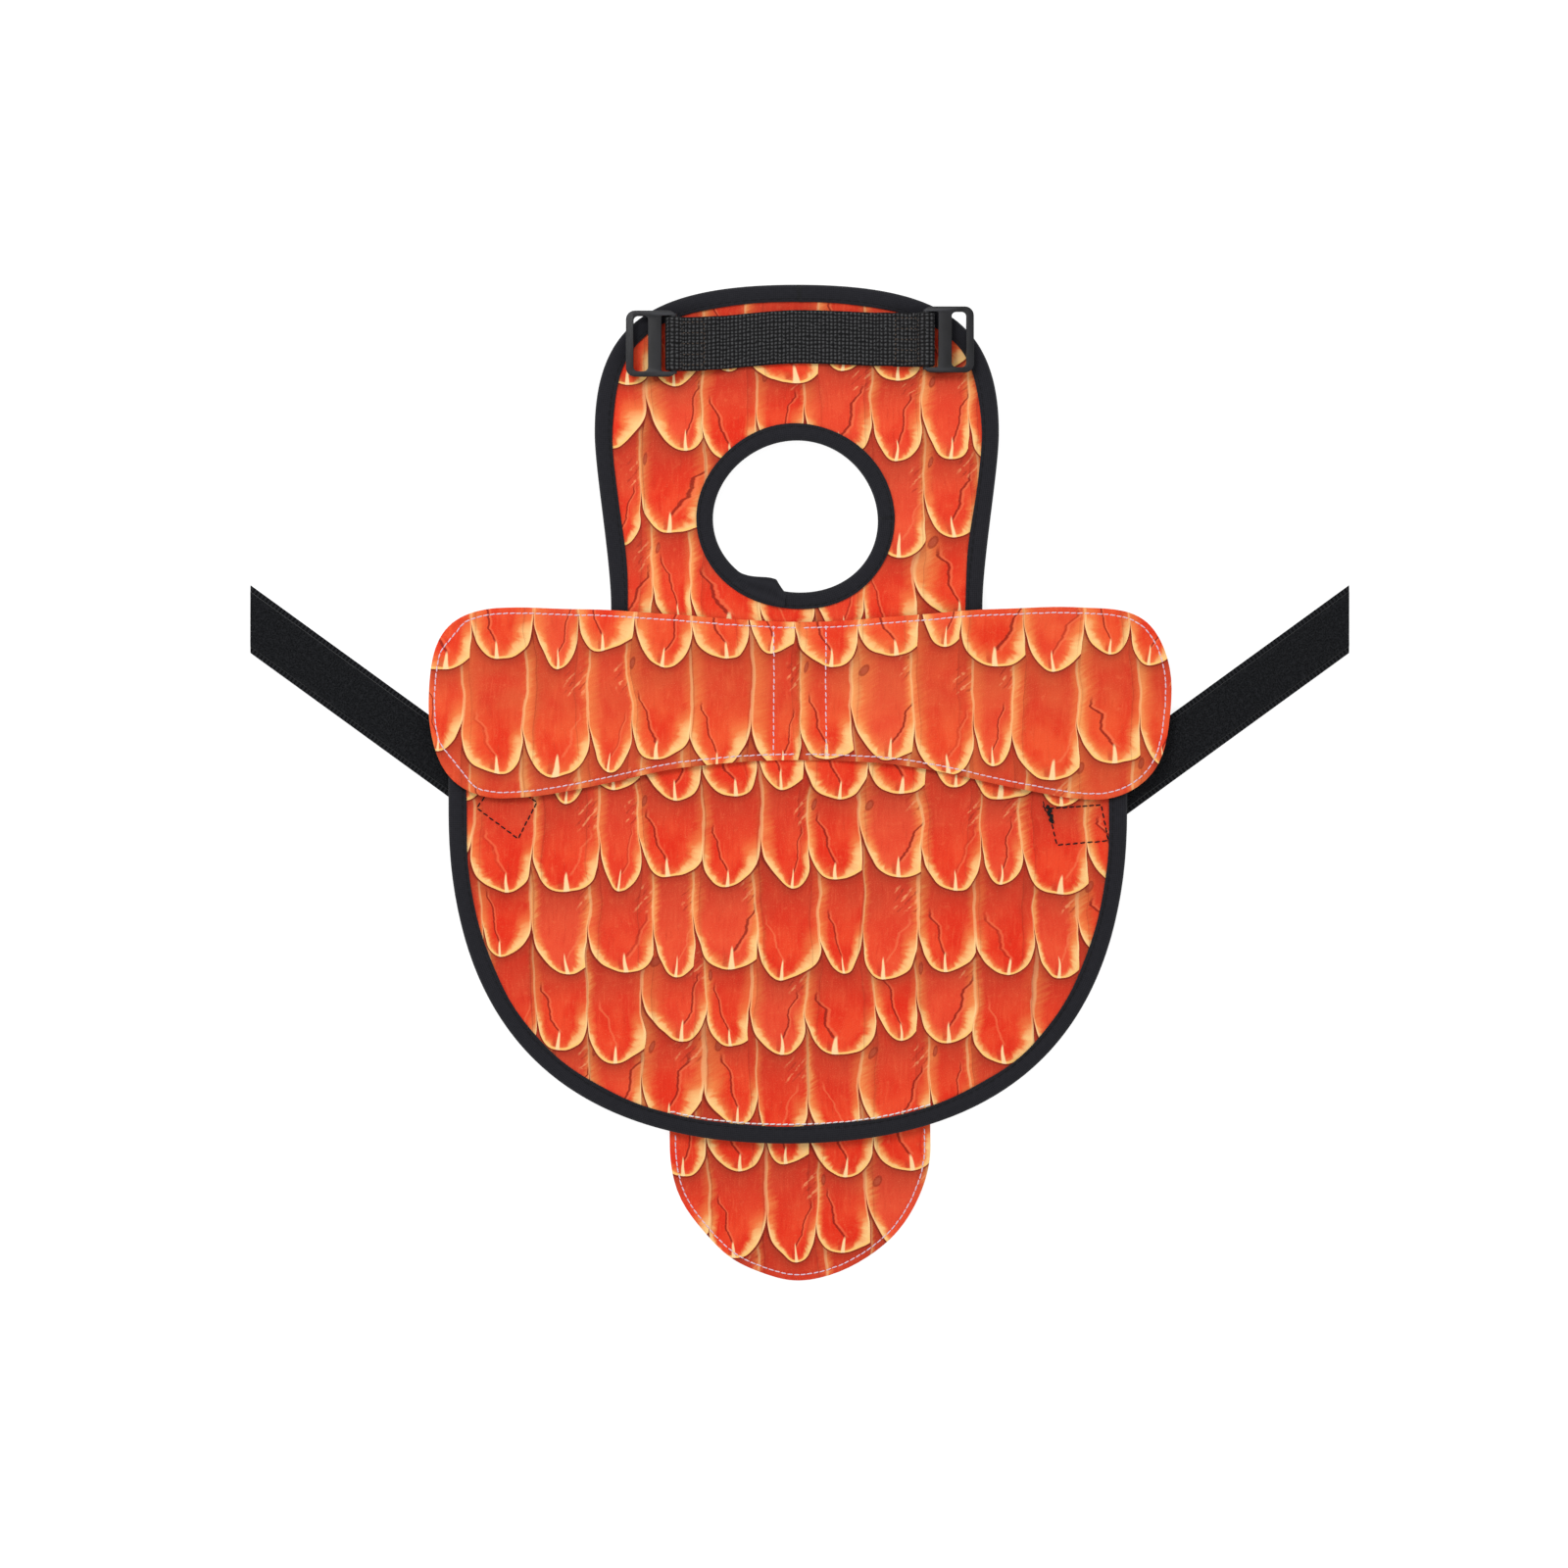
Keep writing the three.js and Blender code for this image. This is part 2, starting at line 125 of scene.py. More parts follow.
def smooth(value, low, high):
    """0 up to low and 1 past high, with an even turn between."""
    t = np.clip((np.asarray(value, float) - low) / (high - low), 0, 1)
    return t * t * (3 - 2 * t)


def curve(start, first, second, end, steps=40):
    """Points along a cubic curve, without its last."""
    t = np.linspace(0, 1, steps, endpoint=False)[:, None]
    a, b, c, d = (np.array(p, float) for p in (start, first, second, end))
    return a * (1 - t) ** 3 + 3 * b * t * (1 - t) ** 2 + 3 * c * t * t * (1 - t) + d * t**3


def bend(start, corner, end, fullness, later=None):
    """A curve drawn towards a corner: 0.55 gives an ellipse and more is squarer. later is the second
    half's fullness where that differs."""
    start, corner, end = (np.array(p, float) for p in (start, corner, end))
    first = start + (corner - start) * fullness
    second = end + (corner - end) * (later or fullness)
    return curve(start, first, second, end)


def both_halves(right):
    """A closed outline, anticlockwise, from its right half drawn downwards from the middle line."""
    left = right * [-1, 1]
    return np.vstack([left, right[::-1][np.abs(right[::-1, 0]) > 1e-6]])


def distances(line):
    """How far along a line each of its points is."""
    return np.concatenate([[0], np.cumsum(np.linalg.norm(np.diff(line, axis=0), axis=1))])


def resample(line, spacing, closed=True):
    """The same line with its points evenly spaced."""
    whole = np.vstack([line, line[:1]]) if closed else np.asarray(line, float)
    run = distances(whole)
    count = max(3, round(run[-1] / spacing))
    at = np.linspace(0, run[-1], count + 1)[: count if closed else count + 1]
    return np.stack([np.interp(at, run, whole[:, i]) for i in range(whole.shape[1])], 1)


def headings(line, closed=True):
    """The unit direction at each point of a line."""
    if closed:
        along = np.roll(line, -1, 0) - np.roll(line, 1, 0)
    else:
        along = np.gradient(line, axis=0)
    return along / np.linalg.norm(along, axis=1)[:, None]


def quarter_turn(along):
    """Directions turned a quarter anticlockwise, which is inwards from an anticlockwise line."""
    return np.stack([-along[:, 1], along[:, 0]], 1)


def inset(line, distance):
    """A closed anticlockwise line moved inwards."""
    return line + quarter_turn(headings(line)) * distance


def inside(points, line):
    """Which points lie inside a closed line."""
    x, y = points[:, 0], points[:, 1]
    found = np.zeros(len(points), bool)
    for (ax, ay), (bx, by) in zip(line, np.roll(line, -1, 0)):
        if ay != by:
            crosses = (ay > y) != (by > y)
            found ^= crosses & (x < (bx - ax) * (y - ay) / (by - ay) + ax)
    return found


def unroll(row):
    """A closed line that has lost some points, put in order so that it starts after the gap."""
    least_gap = 5
    steps = np.linalg.norm(np.diff(row, axis=0), axis=1)
    jump = steps.argmax()
    return np.vstack([row[jump + 1 :], row[: jump + 1]]) if steps[jump] > least_gap else row


def cut_across(row, one, two):
    """A row of stitches that goes straight from near one place to near another, across a corner."""
    first, last = sorted(np.linalg.norm(row - place, axis=1).argmin() for place in (one, two))
    return np.vstack([row[: first + 1], row[last:]])


def nearest(points, line):
    """Each point's distance to a line, and how far along the line that is."""
    run = distances(line)
    away, along = np.empty(len(points)), np.empty(len(points))
    for first in range(0, len(points), 2000):
        some = points[first : first + 2000, :2]
        gaps = np.linalg.norm(some[:, None] - line[None], axis=2)
        best = gaps.argmin(1)
        away[first : first + 2000] = gaps[np.arange(len(some)), best]
        along[first : first + 2000] = run[best]
    return away, along


def ripple(x, y, size, seed):
    """Smooth, irregular waves between about -1 and 1, of this size in millimetres."""
    draw = np.random.RandomState(seed)
    total = 0
    for turn, stretch, phase in draw.uniform(0, 1, (6, 3)):
        angle = turn * 2 * math.pi
        pace = 2 * math.pi / (size * (0.7 + 0.8 * stretch))
        total = total + np.sin((x * math.cos(angle) + y * math.sin(angle)) * pace + phase * 6.3)
    return total / 3.2


def stray(line):
    """The laid cloth lies a little to the left, and more so below the wing flap."""
    moved = np.array(line, float)
    moved[:, 0] -= 0.9 + 2.6 * smooth(-moved[:, 1], -40, 0)
    return moved


def panel_outline():
    widest, neck = BREAST_EDGE - 43, BREAST_EDGE - 94
    shoulder, side = BREAST_EDGE - 127, BREAST_EDGE - 153
    right = np.vstack([
        bend((0, BREAST_EDGE), (BREAST_HALF, BREAST_EDGE), (BREAST_HALF, widest), 0.73),
        curve((BREAST_HALF, widest), (BREAST_HALF, widest - 11), (NECK_HALF, neck + 14), (NECK_HALF, neck)),
        bend((NECK_HALF, neck), (NECK_HALF, shoulder), (BACK_HALF - 15, shoulder), 0.6),
        bend((BACK_HALF - 15, shoulder), (BACK_HALF, shoulder), (BACK_HALF, shoulder - 15), 0.6),
        [(BACK_HALF, shoulder - 15)],
        bend((BACK_HALF, side), (BACK_HALF, HEM_EDGE), (0, HEM_EDGE), 0.72, 0.6),
        [(0, HEM_EDGE)],
    ])
    return stray(resample(both_halves(right), 1))


def wing_outline():
    """The flap's edge, with the slight waves of a turned and topstitched edge."""
    top, end_top, bottom, end_bottom = 47.1, 51.3, 6.3, -5
    middle, shoulder = (end_top + end_bottom) / 2, 0.8 * WING_HALF
    right = np.vstack([
        curve((0, top), (0.2 * WING_HALF, top), (0.4 * WING_HALF, end_top), (shoulder, end_top)),
        bend((shoulder, end_top), (WING_HALF, end_top), (WING_HALF, middle), 0.7),
        bend((WING_HALF, middle), (WING_HALF, end_bottom), (shoulder, end_bottom), 0.6),
        curve(
            (shoulder, end_bottom), (0.5 * WING_HALF, end_bottom + 2),
            (0.4 * WING_HALF, bottom), (0, bottom),
        ),
        [(0, bottom)],
    ])
    line = resample(both_halves(right), 1)
    wave = 0.35 * ripple(line[:, 0], line[:, 1], 30, 5) * smooth(np.abs(line[:, 0]), 10, 40)
    return inset(line, wave[:, None] + 0.35)


def tail_outline(top):
    """The tail flap from a hidden top edge down to its tip."""
    right = np.vstack([
        [(0, top), (TAIL_HALF * 0.5, top), (TAIL_HALF, top)],
        bend((TAIL_HALF, HEM_EDGE), (TAIL_HALF, TAIL_TIP), (0, TAIL_TIP), 0.5, 0.54),
        [(0, TAIL_TIP)],
    ])
    line = resample(both_halves(right), 1)
    wave = 0.3 * ripple(line[:, 0], line[:, 1], 22, 8) + 0.3
    return inset(line, wave[:, None])


def opening_outline(grow=0):
    """The head opening, anticlockwise, or that much wider all round."""
    turn = np.linspace(0, 2 * math.pi, 160, endpoint=False)
    uneven = 0.35 * np.cos(turn * 3 + 2.2) + 0.3 * np.cos(turn * 2 + 0.6) + grow
    reach = np.stack([np.cos(turn) * (OPENING_HALF + uneven), np.sin(turn) * (OPENING_LENGTH + uneven)], 1)
    return resample(OPENING_MIDDLE + reach, 0.9)


# ------------------------------------------------------------------ how the cloth lies

panel = panel_outline()
wing = wing_outline()
tail = tail_outline(HEM_EDGE + 10)


def lie(x, y):
    """How far the panel lies from its level: slack at its free sides, level over the straps and tail."""
    on_straps = smooth(np.abs(x), 60, 76) * (1 - smooth(np.abs(y - 2), 24, 44))
    on_tail = (1 - smooth(np.abs(x), 40, 62)) * (1 - smooth(y, -84, -60))
    sides = smooth(np.abs(x), 45, 95) * (1 - smooth(y, 10, 30))
    slack = -1.2 * sides * (1 - np.maximum(on_straps, on_tail))
    waves = 0.3 * ripple(x, y, 62, 3) * (1 - smooth(y, 95, 120))
    return slack + waves


def panel_top(x, y, level=FACE_TOP):
    """The height of a panel layer: a little full, drawn down and puckered beside the binding."""
    points = np.stack([x, y], 1)
    away, along = nearest(points, panel)
    round_hole = nearest(points, opening_outline())[0]
    near = np.minimum(away - BINDING_WIDTH, round_hole - OPENING_BINDING)
    full = 0.45 * smooth(near, 0, 16) - 0.25
    pucker = np.sin(along * 0.88 + 1.5 * np.sin(along * 0.13)) * np.exp(-np.maximum(near, 0) / 5)
    return level + lie(x, y) + full + 0.1 * pucker


def turned_edge(away, along):
    """A turned edge: rounded over, pressed down along its topstitch and puckered there."""
    over = 0.7 * (np.sqrt(1 - (1 - np.clip(away / 0.9, 0, 1)) ** 2) - 1)
    groove = -0.28 * np.exp(-(((away - TOPSTITCH) / 0.5) ** 2))
    pucker = 0.1 * np.sin(along * 1.15 + 2 * np.sin(along * 0.21)) * np.exp(-np.abs(away - TOPSTITCH) / 2.2)
    return over + groove + pucker


def wing_height(x, y):
    """The wing flap's top: held down between its two centre rows, lying loose towards its ends."""
    out = np.abs(x)
    away, along = nearest(np.stack([x, y], 1), wing)
    level = WING_CENTRE_TOP + (WING_TOP - WING_CENTRE_TOP) * smooth(out, 8, 24)
    held = -0.25 * np.exp(-(((out - CENTRE_ROW) / 0.8) ** 2)) * smooth(away, 0.5, 2)
    loose = smooth(out, 16, 60)
    waves = loose * (0.55 * ripple(x, y, 48, 12) + 0.35 * ripple(x, y, 24, 13) * (1 - smooth(away, 4, 20)))
    past_edge = -1.0 * smooth(out, 99, 108) - 0.8 * smooth(out, 60, 74) * smooth(y, 26, 44)
    return level + lie(x, y) * (1 - loose) + held + waves + past_edge + turned_edge(away, along)


def tail_height(x, y):
    away, along = nearest(np.stack([x, y], 1), tail)
    free = smooth(-y, 104, 125)
    waves = free * (0.35 * ripple(x, y, 30, 17) + 0.25)
    return TAIL_TOP + waves + turned_edge(away, along) * smooth(-y, 104, 108)


# ------------------------------------------------------------------ making meshes

def new_piece(name, points, faces, material, flat=None):
    """A mesh object from points in millimetres. flat gives each point's place on the uncut cloth."""
    mesh = bpy.data.meshes.new(name)
    mesh.from_pydata((np.asarray(points, float) * MM).tolist(), [], [list(f) for f in faces])
    if flat is not None:
        cloth = mesh.uv_layers.new(name="cloth")
        corner = np.array([loop.vertex_index for loop in mesh.loops])
        cloth.data.foreach_set("uv", (np.asarray(flat)[corner] / UV_SIZE).astype(np.float32).ravel())
    mesh.materials.append(material)
    piece = bpy.data.objects.new(name, mesh)
    bpy.context.scene.collection.objects.link(piece)
    return piece


def only(piece):
    """Leaves just this object selected and active."""
    bpy.ops.object.select_all(action="DESELECT")
    piece.select_set(True)
    bpy.context.view_layer.objects.active = piece


def round_off(piece, degrees=50):
    """Smooth shading, with edges sharper than this left crisp."""
    only(piece)
    bpy.ops.object.shade_smooth_by_angle(angle=math.radians(degrees))


def face_outwards(piece):
    """Turns every face to point out of its piece, and removes points that no face uses."""
    only(piece)
    bpy.ops.object.mode_set(mode="EDIT")
    bpy.ops.mesh.select_all(action="SELECT")
    bpy.ops.mesh.delete_loose()
    bpy.ops.mesh.select_all(action="SELECT")
    bpy.ops.mesh.normals_make_consistent(inside=False)
    bpy.ops.object.mode_set(mode="OBJECT")


def thicken(piece, thickness):
    """Gives a sheet its thickness, downwards."""
    only(piece)
    bpy.ops.object.modifier_add(type="SOLIDIFY")
    solidify = piece.modifiers[-1]
    solidify.thickness = thickness * MM
    solidify.offset = -1
    bpy.ops.object.modifier_apply(modifier=solidify.name)


def cut_cloth(line, cell, rows=(), holes=()):
    """Flat points and triangles of cloth cut to a closed line, with points a cell apart. Rows are the
    distances inside the line where extra points run, as along a turned edge."""
    loops = [resample(line, 1.5), *[resample(hole, 1.5) for hole in holes]]
    fixed, edges = [], []
    for loop in loops:
        first = sum(map(len, fixed))
        count = len(loop)
        edges += [(first + i, first + (i + 1) % count) for i in range(count)]
        fixed.append(loop)
    rings = [inset(resample(line, 1.3), distance) for distance in rows]
    low, high = line.min(0), line.max(0)
    step = cell * math.sqrt(0.75)
    across, up = np.arange(low[0], high[0], cell), np.arange(low[1], high[1], step)
    grid = np.array([(x + cell / 2 * (j % 2), y) for j, y in enumerate(up) for x in across])
    clear = inside(grid, line) & (nearest(grid, line)[0] > max([*rows, 0]) + 0.5 * cell)
    for hole in holes:
        clear &= ~inside(grid, hole) & (nearest(grid, hole)[0] > 0.5 * cell)
    points = np.vstack([*fixed, *rings, grid[clear]])
    made = delaunay_2d_cdt([Vector(p) for p in points], edges, [], 0, 1e-5)
    places = np.array([tuple(v) for v in made[0]])
    faces = np.array(made[2])
    centres = places[faces].mean(1)
    kept = inside(centres, line)
    for hole in holes:
        kept &= ~inside(centres, hole)
    return places, faces[kept]


def lay(name, flat, faces, height, thickness, material):
    """A sheet of cloth whose top follows a height and whose thickness lies below it."""
    x, y = flat[:, 0], flat[:, 1]
    piece = new_piece(name, np.column_stack([x, y, height(x, y)]), faces, material, flat)
    face_outwards(piece)
    if piece.data.polygons[0].normal.z < 0:
        piece.data.flip_normals()
    thicken(piece, thickness)
    round_off(piece)
    return piece


def halve(piece, name, side):
    """A copy of one half of a sheet, cut at the middle line: the right half where side is 1, or -1."""
    half = piece.copy()
    half.data = piece.data.copy()
    half.name = half.data.name = name
    bpy.context.scene.collection.objects.link(half)
    only(half)
    bpy.ops.object.mode_set(mode="EDIT")
    bpy.ops.mesh.select_all(action="SELECT")
    bpy.ops.mesh.bisect(
        plane_co=(0, 0, 0), plane_no=(side, 0, 0), use_fill=True, clear_inner=True, threshold=1e-6
    )
    bpy.ops.object.mode_set(mode="OBJECT")
    return half


def drop(piece):
    bpy.data.objects.remove(piece)


def join(parts, name):
    """Makes one object of several."""
    only(parts[0])
    for part in parts:
        part.select_set(True)
    bpy.ops.object.join()
    piece = bpy.context.object
    piece.name = name
    return piece


def ring_faces(count, size, closed=False, first=0):
    """The faces between equal rings of points that follow one another. Both ends are filled, unless the
    last ring goes on into the first."""
    faces = []
    for i in range(count if closed else count - 1):
        here, there = first + i * size, first + (i + 1) % count * size
        faces += [(here + j, here + (j + 1) % size, there + (j + 1) % size, there + j) for j in range(size)]
    if not closed:
        last = first + (count - 1) * size
        faces += [list(range(first, first + size))[::-1], list(range(last, last + size))]
    return faces


def sweep(name, line, section, material, shape, closed=True, normals=None):
    """A closed section carried along a flat line. The section is (across, height) pairs, with across
    measured inwards from the line, and shape changes it from station to station."""
    sideways = quarter_turn(headings(line, closed)) if normals is None else normals
    run = distances(line)
    places = shape(np.repeat(section[None], len(line), 0), line, run)
    xy = line[:, None] + sideways[:, None] * places[..., :1]
    points = np.concatenate([xy, places[..., 1:]], 2).reshape(-1, 3)
    flat = np.stack(np.meshgrid(run, distances(section), indexing="ij"), 2).reshape(-1, 2)
    piece = new_piece(name, points, ring_faces(len(line), len(section), closed), material, flat)
    face_outwards(piece)
    round_off(piece)
    return piece


def sew(name, line, height, material, pitch, radius, closed=False, share=1.0, slant=4, under=False):
    """A row of stitches along a flat line: each one a short arched thread that dips in at its ends. share
    is how much of the pitch a stitch takes, slant its turn in degrees, and under hangs it below."""
    places = resample(line, pitch, closed)
    ways = headings(places, closed)
    centres = places if closed else (places[:-1] + places[1:]) / 2
    ways = ways if closed else ways[:-1]
    sides, rings = 6, 5
    t = np.linspace(-1, 1, rings)
    around = np.linspace(0, 2 * math.pi, sides, endpoint=False)
    thin = radius * np.sqrt(np.clip(1.08 - t**6, 0.05, 1))
    along = t * pitch * share / 2
    lift = radius * 0.7 - radius * 1.5 * t**6
    stitch = np.array([
        (along[i], thin[i] * math.cos(angle), lift[i] + thin[i] * math.sin(angle))
        for i in range(rings) for angle in around
    ])
    points, faces = [], []
    heights = height(centres[:, 0], centres[:, 1])
    if under:
        stitch[:, 2] *= -1
    for (x, y), (way_x, way_y), z in zip(centres, ways, heights):
        turn = math.radians(slant + luck.uniform(-2.5, 2.5))
        thread_x = way_x * math.cos(turn) - way_y * math.sin(turn)
        thread_y = way_y * math.cos(turn) + way_x * math.sin(turn)
        across = stitch[:, 1] + luck.uniform(-0.05, 0.05)
        faces += ring_faces(rings, sides, first=len(points) * rings * sides)
        points.append(np.column_stack([
            x + stitch[:, 0] * thread_x - across * thread_y,
            y + stitch[:, 0] * thread_y + across * thread_x,
            z + stitch[:, 2],
        ]))
    piece = new_piece(name, np.vstack(points), faces, material)
    face_outwards(piece)
    round_off(piece, 60)
    return piece


def topstitch(name, line, height):
    return sew(name, line, height, white_thread, 1.9, 0.19, share=1.05)


# ------------------------------------------------------------------ materials

def shade(red, green, blue):
    """A colour as a screen shows it, 0 to 255, as the linear one that a shader takes."""
    def channel(value):
        value /= 255
        return value / 12.92 if value <= 0.04045 else ((value + 0.055) / 1.055) ** 2.4
    return (channel(red), channel(green), channel(blue), 1)


class Wire:
    """A number in a material's node tree that takes ordinary arithmetic."""

    def __init__(self, tree, socket):
        self.tree, self.socket = tree, socket

    def do(self, operation, *others):
        made = self.tree.nodes.new("ShaderNodeMath")
        made.operation = operation
        for place, value in zip(made.inputs, (self, *others)):
            plug(self.tree, value, place)
        return Wire(self.tree, made.outputs[0])

    def __add__(self, other):
        return self.do("ADD", other)

    def __sub__(self, other):
        return self.do("SUBTRACT", other)

    def __mul__(self, other):
        return self.do("MULTIPLY", other)

    def __truediv__(self, other):
        return self.do("DIVIDE", other)

    def less_from(self, start):
        """start - this."""
        return self.do("MULTIPLY_ADD", -1, start)

    def rise(self, low, high):
        """0 at low and 1 at high, or the other way round where low is the larger."""
        made = self.tree.nodes.new("ShaderNodeMapRange")
        made.interpolation_type = "SMOOTHSTEP"
        for key, value in (("Value", self), ("From Min", low), ("From Max", high)):
            plug(self.tree, value, made.inputs[key])
        return Wire(self.tree, made.outputs["Result"])

    def ramp(self, low, high):
        """0 up to low and 1 past high, in a straight line between."""
        return ((self - low) / (high - low)).do("MAXIMUM", 0).do("MINIMUM", 1)

    floor = property(lambda self: self.do("FLOOR"))
    sine = property(lambda self: self.do("SINE"))
    size = property(lambda self: self.do("ABSOLUTE"))
    root = property(lambda self: self.do("MAXIMUM", 0).do("SQRT"))


def plug(tree, value, socket):
    """Feeds a socket from a wire or another socket, or sets it to a plain value."""
    if isinstance(value, Wire):
        tree.links.new(value.socket, socket)
    elif isinstance(value, bpy.types.NodeSocket):
        tree.links.new(value, socket)
    else:
        socket.default_value = value


def choose(amount, low, high):
    """low where amount is 0 and high where it is 1."""
    made = amount.tree.nodes.new("ShaderNodeMix")
    for place, value in zip(("Factor", "A", "B"), (amount, low, high)):
        plug(amount.tree, value, made.inputs[place])
    return Wire(amount.tree, made.outputs["Result"])


def tint(tree, amount, under, over):
    """One colour laid on another."""
    made = tree.nodes.new("ShaderNodeMix")
    made.data_type = "RGBA"
    plug(tree, amount, made.inputs["Factor"])
    plug(tree, under, [s for s in made.inputs if s.name == "A" and s.type == "RGBA"][0])
    plug(tree, over, [s for s in made.inputs if s.name == "B" and s.type == "RGBA"][0])
    return [s for s in made.outputs if s.type == "RGBA"][0]


def vector(tree, x, y, z=0.0):
    """Three numbers joined as one place."""
    made = tree.nodes.new("ShaderNodeCombineXYZ")
    for place, value in zip(made.inputs, (x, y, z)):
        plug(tree, value, place)
    return made.outputs[0]


def noise(tree, x, y, detail, z=0.0):
    """Cloudy noise from about 0 to 1 at a place whose unit is the cloud's size."""
    made = tree.nodes.new("ShaderNodeTexNoise")
    made.inputs["Scale"].default_value = 1
    made.inputs["Detail"].default_value = detail
    plug(tree, vector(tree, x, y, z), made.inputs["Vector"])
    return Wire(tree, made.outputs["Fac"])


def cloth_place(tree):
    """Where a point lies on its cloth, in millimetres."""
    place = tree.nodes.new("ShaderNodeUVMap")
    place.uv_map = "cloth"
    parts = tree.nodes.new("ShaderNodeSeparateXYZ")
    tree.links.new(place.outputs[0], parts.inputs[0])
    return Wire(tree, parts.outputs[0]) * UV_SIZE, Wire(tree, parts.outputs[1]) * UV_SIZE


def solid_place(tree):
    """Where a point lies on its object, in millimetres."""
    place = tree.nodes.new("ShaderNodeTexCoord")
    parts = tree.nodes.new("ShaderNodeSeparateXYZ")
    tree.links.new(place.outputs["Object"], parts.inputs[0])
    return [Wire(tree, parts.outputs[i]) * (1 / MM) for i in range(3)]


def new_material(name, **settings):
    """A material with its shader's plain sockets set, and its tree and shader to work on."""
    made = bpy.data.materials.new(name)
    made.use_nodes = True
    shader = made.node_tree.nodes["Principled BSDF"]
    for key, value in settings.items():
        shader.inputs[key.replace("_", " ")].default_value = value
    return made, made.node_tree, shader


def bump(tree, shader, height, distance, strength=1.0):
    """Fine relief on a surface, whose depth is in millimetres."""
    made = tree.nodes.new("ShaderNodeBump")
    made.inputs["Distance"].default_value = distance * MM
    made.inputs["Strength"].default_value = strength
    plug(tree, height, made.inputs["Height"])
    tree.links.new(made.outputs[0], shader.inputs["Normal"])


FEATHER_WIDTH = 16.0
FEATHER_TIP = 10.0  # how far a feather's round tip hangs below its sides


def feather(across, along, row, pitch):
    """One row of hanging feathers: where a point lies on its feather, and how far inside its rim. Many
    feathers lean, with a long left side and a right side that the next feather hides."""
    tree = across.tree
    sway = (across * 0.118 + row * 1.7).sine * 0.11 + (across * 0.231 + row * 2.9).sine * 0.07
    sway = sway + (along * 0.13 + across * 0.3).sine * 0.02
    place = across / FEATHER_WIDTH + sway
    cell = place.floor
    pick = tree.nodes.new("ShaderNodeTexWhiteNoise")
    plug(tree, vector(tree, cell, row), pick.inputs["Vector"])
    picks = tree.nodes.new("ShaderNodeSeparateColor")
    tree.links.new(pick.outputs["Color"], picks.inputs[0])
    luck_a, luck_b, luck_c = (Wire(tree, output) for output in picks.outputs)
    share = place - cell
    lean = luck_c.rise(0.35, 1.0) * 0.17
    x = share * 2 * lean.less_from(1) - 1
    above_tip = along - (row + (luck_a - 0.5) * 0.3) * pitch
    depth = (luck_b * 0.85 + 1) * x.rise(0.12, -0.12) + x.rise(-0.12, 0.12)
    flat = (x * x).less_from(1)
    above_rim = above_tip - flat.root.less_from(1) * depth * FEATHER_TIP
    steep = depth * (FEATHER_TIP * 2 / FEATHER_WIDTH)
    from_rim = above_rim * (flat.do("MAXIMUM", 0) / ((steep * steep - 1) * x * x + 1)).root
    return {
        "x": x, "above_tip": above_tip, "from_rim": from_rim,
        "left": share * FEATHER_WIDTH, "right": share.less_from(1) * FEATHER_WIDTH,
        "luck_a": luck_a, "luck_b": luck_b, "luck_c": luck_c,
    }


def shadow_of(upper):
    """The dark line and the soft shadow just outside a feather that lies on top."""
    outside = upper["from_rim"] * -1
    return outside.rise(0.6, 0.12) * 0.5 + outside.rise(2.8, 0.0) * 0.3 + outside.rise(8.0, 0.5) * 0.24


